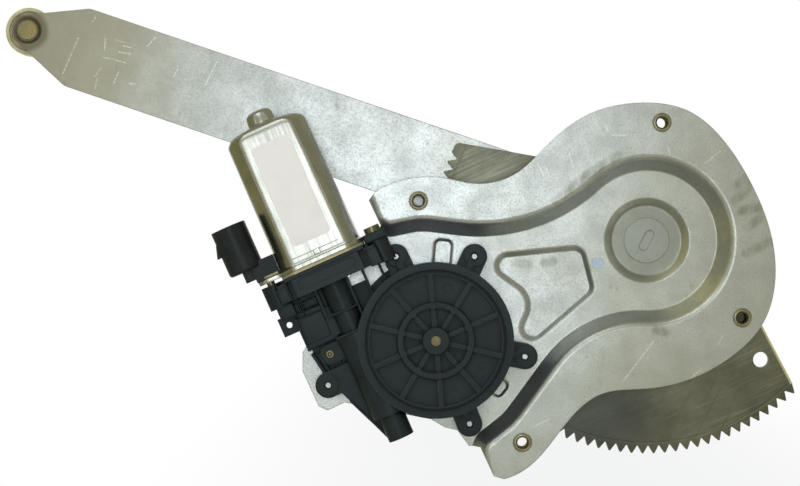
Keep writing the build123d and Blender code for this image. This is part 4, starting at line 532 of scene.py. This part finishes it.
def resin_card():
    """Resin-bonded board: tan with fibres, and cut edges lightened as painted highlight."""
    f = Finish("resin-bonded board")
    normal, edge = f.rounded(0.0002)
    fibre = f.grain(0.0008, 4, (1, 6, 1))
    colour = f.blend(f.step(fibre, 0.35, 0.65), (0.46, 0.38, 0.18), (0.60, 0.52, 0.30))
    # Painted highlight along the cut edges.
    colour = f.over(colour, edge, 0.4, (0.74, 0.66, 0.42))
    return f.close(colour, f.step(fibre, 0.3, 0.7, 0.4, 0.55), normal, [(fibre, 0.00004)])


screw_olive = passivation("olive passivated screw", (0.26, 0.23, 0.13), (0.18, 0.18, 0.12))
can_steel = drawn_can()
dress(can_steel, "motor_can")
dress(label_paper(), "motor_label")
dress(resin_card(), "brush_holder")
dress(screw_olive, "can_screws")


edge_power = 60
ear_place, ear_radius, ear_rim = 28.0, 5.5, 23.0


def can_loops(section, ears=False):
    """Loops round the motor's shaft by polar angle: the reach is the smaller of a radius and the distance
    to two flats, blended by a high power so that the edges are round. The flange's loops reach out to
    the ears where those are larger, and the steps are finest across the ears. A section gives places
    along the shaft, radii and flats."""
    turn = np.concatenate([np.linspace(-0.26, 0.26, 60), np.linspace(0.27, math.pi - 0.27, 150)])
    turn = np.concatenate([turn, turn + math.pi])
    along, radius, flat = np.array(section, float).T[:, :, None]
    level = flat / np.maximum(np.abs(np.sin(turn)), 1e-3)
    reach = radius * (1 + (radius / level) ** edge_power) ** (-1 / edge_power)
    if ears:
        side = np.abs(ear_place * np.sin(turn))
        ear = ear_place * np.abs(np.cos(turn)) + np.sqrt(np.maximum(ear_radius ** 2 - side ** 2, 0))
        reach = np.maximum(reach, np.where(side < ear_radius, ear - (ear_rim - radius), 0))
    return from_motor(along + 0 * reach, reach * np.cos(turn), reach * np.sin(turn))


can_side = [
    (-138.0, 2.6, 15.5), (-137.8, 4.0, 15.5), (-137.3, 5.2, 15.5), (-136.4, 6.2, 15.5),
    (-135.0, 6.7, 15.5), (-131.5, 6.9, 15.5), (-131.1, 7.2, 13.0), (-130.9, 8.0, 13.0),
    (-130.7, 10.3, 13.0), (-130.4, 12.8, 13.2), (-130.0, 15.0, 13.7), (-129.4, 16.8, 14.3),
    (-128.6, 18.3, 14.9), (-127.7, 19.4, 15.25), (-126.6, 20.2, 15.43), (-125.2, 20.55, 15.5),
    (-110.0, 20.7, 15.5), (-62.4, 21.2, 15.5), (-61.2, 21.4, 15.6), (-60.7, 22.0, 15.9)]
flange_side = [(-60.5, 22.85, 17.85), (-60.35, 23.0, 18.0), (-58.65, 23.0, 18.0), (-58.5, 22.85, 17.85)]
can_inside = [
    (-58.5, 18.5, 13.5), (-126.0, 18.5, 13.5), (-126.1, 5.1, 13.5), (-137.0, 5.1, 13.5), (-137.0, 3.0, 13.5)]
can_skin = np.concatenate([can_loops(can_side), can_loops(flange_side, ears=True), can_loops(can_inside)])
can_shell = skin("can_shell", can_skin, can_steel)
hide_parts("motor_can")


def rounded_loop(half, corner, inset):
    """Rounded rectangle: each corner is a quarter circle whose middle stands a radius in from both
    sides, and an inset draws the whole line in by that much."""
    turn = (np.arange(4)[:, None] + np.linspace(0, 1, 6)) * (math.pi / 2)
    sign = np.array([[1, 1], [-1, 1], [-1, -1], [1, -1]])[:, None, :]
    radius = max(corner - inset, 0.02)
    middle = sign * (np.array(half) - inset - radius)
    return (middle + radius * np.stack([np.cos(turn), np.sin(turn)], axis=-1)).reshape(-1, 2)


def raised(centre, half, corner, low, high, rounding, turn=0.0):
    """Moulded or pressed raised patch: one rounded rectangle lifted from low to high, drawn in along a
    quarter circle at its upper edge, and turned about its centre on the motor's axes."""
    arc = np.linspace(0, math.pi / 2, 5)
    inset = np.concatenate([[0.0], rounding * (1 - np.cos(arc))])
    height = np.concatenate([[low], high - rounding + rounding * np.sin(arc)])
    loops = np.stack([rounded_loop(half, corner, each) for each in inset])
    c, s = math.cos(math.radians(turn)), math.sin(math.radians(turn))
    along = centre[0] + c * loops[..., 0] - s * loops[..., 1]
    across = centre[1] + s * loops[..., 0] + c * loops[..., 1]
    return from_motor(along, across, height[:, None] + 0 * along)


skin("can_seam", raised((-64.1, -1.0), (0.25, 12.2), 0.2, 15.2, 15.75, 0.2), can_steel)
skin("can_tab", raised((-63.0, -0.3), (1.4, 1.7), 0.2, 15.2, 15.8, 0.2), can_steel)
skin("ear_washer", raised((-61.4, -25.8), (0.8, 3.8), 0.3, -5.6, 5.6, 0.3), screw_olive)

# Gearbox housing, cover, thrust plug and connector: glass-filled black nylon mouldings with a satin skin,
# edges greyed as painted highlight, and corners and the cover's grooves darkened by grime and painted shade.
# Five zinc plated screws come up through the lugs. Ribs, cells, panels and edges that the solids lack are
# added on top.

cover_axis = (-0.11183, 0, -0.10673)


def black_nylon(name, base, gloss, shaded_grooves=()):
    """Glass-filled nylon: satin black, faint flow marks, fine grain and pale scuffs, edges greyed as painted
    highlight, corners darkened by grime and painted shade, and painted shade blackening round grooves about
    the cover's axis."""
    f = Finish(name)
    normal, edge = f.rounded(0.0007)
    flow = f.grain(0.02, 4)
    grain = f.grain(0.0005, 3)
    scuff = f.grain(0.0016, 4, (8, 1, 1), (0, 40, 0))
    colour = f.blend(f.step(flow, 0.3, 0.7), [0.8 * c for c in base], [1.3 * c for c in base])
    colour = f.blend(f.step(scuff, 0.58, 0.78, 0.0, 0.5), colour, (0.04, 0.044, 0.044))
    # Grime and painted shade in the corners.
    colour = f.over(colour, f.hollow_shade(0.003), 0.9, (0.0008, 0.001, 0.001))
    # Painted highlight greying the edges.
    colour = f.over(colour, edge, 0.5, (0.12, 0.13, 0.128))
    # Painted shade in the round grooves of the cover.
    for groove, width in shaded_grooves:
        gap = f.math("ABSOLUTE", f.math("SUBTRACT", f.radius(cover_axis), groove))
        colour = f.blend(f.step(gap, 0.5 * width, width, 0.9, 0.0), colour, (0.0008, 0.001, 0.001))
    rough = f.math("ADD", f.step(grain, 0.3, 0.7, gloss, gloss + 0.12), f.step(flow, 0.3, 0.7, 0.0, 0.06))
    bumps = [(grain, 0.00006), (flow, 0.00014)]
    cool = (0.78, 0.94, 1.0, 1.0)
    return f.close(colour, rough, normal, bumps, specular_ior_level=0.26, specular_tint=cool)


housing_black = black_nylon("black housing nylon", (0.0165, 0.0205, 0.0215), 0.24)
# Painted shade: radii and widths of round grooves on the cover, in metres.
cover_shaded_grooves = [(0.0335, 0.0011), (0.0188, 0.0005), (0.0150, 0.0005), (0.0066, 0.0005)]
cover_black = black_nylon("black cover nylon", (0.0155, 0.019, 0.020), 0.28, cover_shaded_grooves)
connector_black = black_nylon("black connector nylon", (0.0155, 0.0165, 0.016), 0.25)
screw_zinc = zinc_plating("zinc plated screw", 10)
dress(housing_black, "gear_housing", "thrust_plug")
dress(cover_black, "gear_cover")
dress(connector_black, "connector_body")
dress(screw_zinc, "motor_screws")


def border(centre, half, corner, width, low, high, chamfer=0.25):
    """Thin raised border: a bar section with chamfered upper edges carried round a rounded rectangle."""
    side = width / 2
    section = np.array([
        [-side, low], [-side, high - chamfer], [-side + chamfer, high],
        [side - chamfer, high], [side, high - chamfer], [side, low]])
    loops = np.stack([rounded_loop(half, corner, inset) for inset in section[:, 0]])
    along, across = centre[0] + loops[..., 0], centre[1] + loops[..., 1]
    return from_motor(along, across, section[:, 1][:, None] + 0 * along)


def turned(centre, section):
    """Turned piece: a section of radii and heights carried round an upright axis."""
    turn = np.linspace(0, 2 * math.pi, 40, endpoint=False)
    radius, height = np.array(section, float).T[:, :, None]
    along, across = centre[0] + radius * np.cos(turn), centre[1] + radius * np.sin(turn)
    return from_motor(along, across, height + 0 * along)


patches = {
    "block_band": ((-56.0, 0.0), (1.0, 21.0), 0.5, 15.0, 16.5, 0.4),
    "ear_cap_right": ((-58.5, 27.8), (2.2, 5.6), 1.2, -6.0, 6.3, 0.6),
    "column_face_left": ((-49.7, -23.6), (3.7, 2.7), 0.5, 11.0, 12.7, 0.4),
    "column_face_right": ((-49.4, 23.6), (4.2, 2.8), 0.5, 11.0, 12.7, 0.4),
    "column_foot_left": ((-42.0, -26.4), (3.4, 4.2), 0.8, -13.5, 2.0, 0.5),
    "frame_cross_upper": ((-31.4, -1.25), (0.4, 8.3), 0.2, 3.5, 7.7, 0.25),
    "frame_cross_lower": ((-20.2, -0.6), (0.4, 7.9), 0.2, 3.5, 9.7, 0.25),
    "cell_bar": ((-41.3, -19.0), (4.4, 0.4), 0.2, -4.3, -1.0, 0.2),
    "panel_head": ((-37.5, -14.5), (1.3, 4.3), 0.4, -4.3, 0.9, 0.4),
    "panel_face": ((-29.4, -16.8), (6.6, 6.1), 0.7, 0.5, 1.6, 0.4),
    "panel_lip": ((-21.3, -15.9), (0.6, 7.8), 0.3, -8.2, 1.5, 0.3),
    "panel_wall": ((-28.4, -24.2), (8.8, 0.7), 0.3, -13.5, -2.0, 0.3),
    "web_bar_outer": ((-12.1, -22.8), (6.0, 0.8), 0.5, -13.5, -3.6, 0.4, 9.7),
    "web_bar_inner": ((-11.3, -20.2), (5.6, 0.7), 0.5, -13.5, -3.6, 0.4, 9.7),
    "gusset_edge": ((22.6, -10.8), (13.0, 0.7), 0.5, -9.5, -2.3, 0.4, 22.7),
}
for name, shape in patches.items():
    skin(name, raised(*shape), housing_black)
borders = {
    "block_oblong": ((-51.5, 0.0), (2.8, 15.3), 2.8, 0.5, 15.8, 16.3, 0.2),
    "cell_wide": ((-41.3, -14.4), (1.9, 3.6), 0.6, 0.8, -4.3, -1.4),
    "cell_small": ((-41.3, -21.8), (2.4, 1.8), 0.6, 0.8, -4.3, -1.4),
    "web_cell_near": ((-7.0, -9.8), (1.6, 1.5), 0.5, 0.8, -8.3, -4.2),
    "web_cell_far": ((-7.0, -14.9), (1.6, 2.5), 0.5, 0.8, -8.3, -4.2),
}
for name, shape in borders.items():
    skin(name, border(*shape), housing_black, wrapped=True)
wheel_axis, neck_reach = np.array([0.0, 34.6]), 40.0
lugs = {"upper_left": 181.55, "upper_right": 130.65, "right": 55.05, "lower": -1.95}
for name, direction in lugs.items():
    outward = np.array([math.cos(math.radians(direction)), math.sin(math.radians(direction))])
    neck = raised(wheel_axis + neck_reach * outward, (3.2, 2.0), 0.4, -4.0, -1.9, 0.4, direction)
    skin("lug_neck_" + name, neck, housing_black)
pad_bush = [(1.95, -9.0), (1.95, -4.7), (1.8, -4.5), (1.2, -4.5), (1.0, -5.0), (0.9, -7.0)]
skin("pad_bush", turned((-14.2, -15.9), pad_bush), screw_olive)

# Inside and behind: armature, brushes, gears, bushes, seals and terminals, each in the metal, rubber or
# plastic that it is made of.


def moulded(name, light, dark, gloss, depth):
    """Plain moulded or pressed stuff: two tones in a fine mottle, with a skin of small bumps and edges
    lightened as painted highlight.
    """
    f = Finish(name)
    normal, edge = f.rounded(0.0003)
    mottle = f.grain(0.004, 4)
    fine = f.grain(0.0006, 3)
    colour = f.blend(f.step(mottle, 0.3, 0.7), light, dark)
    # Painted highlight along the edges.
    colour = f.over(colour, edge, 0.3, [min(1.0, 1.6 * c + 0.02) for c in light])
    return f.close(colour, f.step(fine, 0.3, 0.7, gloss, gloss + 0.12), normal, [(fine, depth)])


gear_steel = bare_steel("machined gear steel", (0.48, 0.48, 0.49), (0.36, 0.36, 0.35), 0.24)
core_iron = bare_steel("stacked core iron", (0.26, 0.26, 0.27), (0.18, 0.18, 0.18), 0.42)
bare_copper = bare_steel("bare copper", (0.70, 0.36, 0.20), (0.52, 0.24, 0.12), 0.26)
tinned_brass = bare_steel("tinned brass", (0.74, 0.72, 0.66), (0.62, 0.58, 0.46), 0.24)
shaft_steel = bare_steel("tarnished shaft steel", (0.20, 0.165, 0.10), (0.14, 0.115, 0.07), 0.36)
black_rubber = moulded("black rubber", (0.045, 0.045, 0.045), (0.03, 0.03, 0.03), 0.6, 0.00005)
white_acetal = moulded("natural acetal", (0.82, 0.81, 0.76), (0.74, 0.72, 0.66), 0.3, 0.00002)
ferrite = moulded("ferrite", (0.10, 0.10, 0.11), (0.06, 0.06, 0.065), 0.5, 0.00004)
carbon = moulded("carbon", (0.06, 0.06, 0.06), (0.035, 0.035, 0.035), 0.5, 0.00004)
dress(bearing_bronze, "can_bush", "housing_bush", "end_bush", "output_bush")
dress(gear_steel, "armature_shaft", "drive_pinion")
dress(shaft_steel, "output_shaft")
dress(plain_steel, "driver_plate", "output_circlip", "brush_springs")
dress(core_iron, "armature_core")
dress(bare_copper, "armature_windings", "commutator")
dress(tinned_brass, "connector_terminals")
dress(black_rubber, "cover_seal", "shaft_seal", "damper")
dress(white_acetal, "worm_wheel")
dress(ferrite, "magnets")
dress(carbon, "brushes")

# Studio: a pale floor below the part, a white surround, soft lamps in front, and olive cards on five sides
# that only reflections see. The camera stands where the photograph was taken from.
scene = bpy.context.scene
scene.view_settings.view_transform = "Standard"


def light_path(tree):
    """Share that is 1 for rays that show the background: from the camera, in gloss or through glass."""
    path = tree.nodes.new("ShaderNodeLightPath")
    share = path.outputs["Is Camera Ray"]
    for name in ("Is Glossy Ray", "Is Transmission Ray"):
        most = tree.nodes.new("ShaderNodeMath")
        most.operation = "MAXIMUM"
        tree.links.new(share, most.inputs[0])
        tree.links.new(path.outputs[name], most.inputs[1])
        share = most.outputs[0]
    return share


world = bpy.data.worlds.new("white surround")
scene.world = world
world.use_nodes = True
sky = world.node_tree
sky.nodes.clear()
dim, bright = sky.nodes.new("ShaderNodeBackground"), sky.nodes.new("ShaderNodeBackground")
dim.inputs["Color"].default_value = (0.96, 0.98, 1.0, 1)
dim.inputs["Strength"].default_value = 0.72
bright.inputs["Color"].default_value = (1, 1, 1, 1)
bright.inputs["Strength"].default_value = 1.0
both, shown = sky.nodes.new("ShaderNodeMixShader"), sky.nodes.new("ShaderNodeOutputWorld")
sky.links.new(light_path(sky), both.inputs[0])
sky.links.new(dim.outputs[0], both.inputs[1])
sky.links.new(bright.outputs[0], both.inputs[2])
sky.links.new(both.outputs[0], shown.inputs[0])


def flat_sheet(name, centre, side, up):
    """Flat rectangle as a 2 by 2 grid: centre plus or minus half of each of two edges."""
    centre, side, up = (np.array(v, float) for v in (centre, side, up))
    ends = np.array([-0.5, 0.5])
    grid = centre + ends[:, None, None] * side + ends[None, :, None] * up
    mesh = bpy.data.meshes.new(name)
    mesh.from_pydata(grid.reshape(-1, 3).tolist(), [], [(0, 2, 3, 1)])
    sheet = bpy.data.objects.new(name, mesh)
    scene.collection.objects.link(sheet)
    return sheet


floor_drop = 0.06
floor_level = float(cad_box[0][2]) - floor_drop
floor = flat_sheet("floor", (0, 0, floor_level), (24, 0, 0), (0, 24, 0))
# Beside the part some of the floor is matt and takes its shadow. Further off it is all white.
pale = Finish("pale floor")
away = pale.step(pale.radius((0, 0, 0)), 0.2, 0.42, 0.7, 1.0)
glow = pale.add("ShaderNodeEmission", {"Color": (1, 1, 1, 1), "Strength": 1.0}).outputs[0]
matt = pale.add("ShaderNodeBsdfDiffuse", {"Color": (0.86, 0.86, 0.85, 1)}).outputs[0]
share = pale.math("MULTIPLY", light_path(pale.tree), away)
mixed = pale.add("ShaderNodeMixShader", {0: share, 1: matt, 2: glow}).outputs[0]
pale.tree.links.new(mixed, pale.tree.nodes["Material Output"].inputs[0])
floor.data.materials.append(pale.material)
floor.visible_glossy = False

cards = {
    "left card": ((-2.2, 1.2, 0.0), (0, 5.6, 0), (0, 0, 4.0), (0.24, 0.23, 0.11)),
    "right card": ((2.0, 1.2, 0.0), (0, 5.6, 0), (0, 0, 4.0), (0.29, 0.28, 0.17)),
    "upper card": ((-0.1, 1.2, 2.0), (4.2, 0, 0), (0, 5.6, 0), (0.30, 0.29, 0.18)),
    "lower card": ((-0.1, 1.2, -2.0), (4.2, 0, 0), (0, 5.6, 0), (0.22, 0.22, 0.12)),
    "front card": ((-0.1, -2.3, 0.0), (5.0, 0, 0), (0, 0, 5.0), (0.42, 0.40, 0.27)),
}
for name, (*place, shade) in cards.items():
    olive = Finish("olive " + name)
    glow = olive.add("ShaderNodeEmission", {"Color": (*shade, 1), "Strength": 1.0}).outputs[0]
    olive.tree.links.new(glow, olive.tree.nodes["Material Output"].inputs[0])
    card = flat_sheet(name, *place)
    card.data.materials.append(olive.material)
    card.visible_camera = card.visible_diffuse = card.visible_shadow = False

lamp_target = Vector((-0.129, 0.0, -0.06))
lamps = {
    "soft box": ((-0.21, -1.2, 0.02), 0.42, 1.1),
    "plate light": ((-0.03, -1.2, -0.07), 0.3, 0.35),
    "upper fill": ((-0.7, -1.5, 1.3), 1.0, 4.5),
}
for name, (place, size, watts) in lamps.items():
    light = bpy.data.lights.new(name, "AREA")
    light.shape, light.size, light.energy = "SQUARE", size, watts
    light.color = (0.86, 0.95, 1.0)
    lamp = bpy.data.objects.new(name, light)
    scene.collection.objects.link(lamp)
    lamp.location = place
    lamp.rotation_euler = (lamp_target - Vector(place)).to_track_quat("-Z", "Y").to_euler()

lens = bpy.data.cameras.new("camera")
lens.lens, lens.sensor_width, lens.sensor_fit = 82.2, 36.0, "HORIZONTAL"
camera = bpy.data.objects.new("camera", lens)
camera.location = (-0.1292, -0.9, -0.0594)
camera.rotation_euler = (math.radians(90), 0, 0)
scene.collection.objects.link(camera)
scene.camera = camera
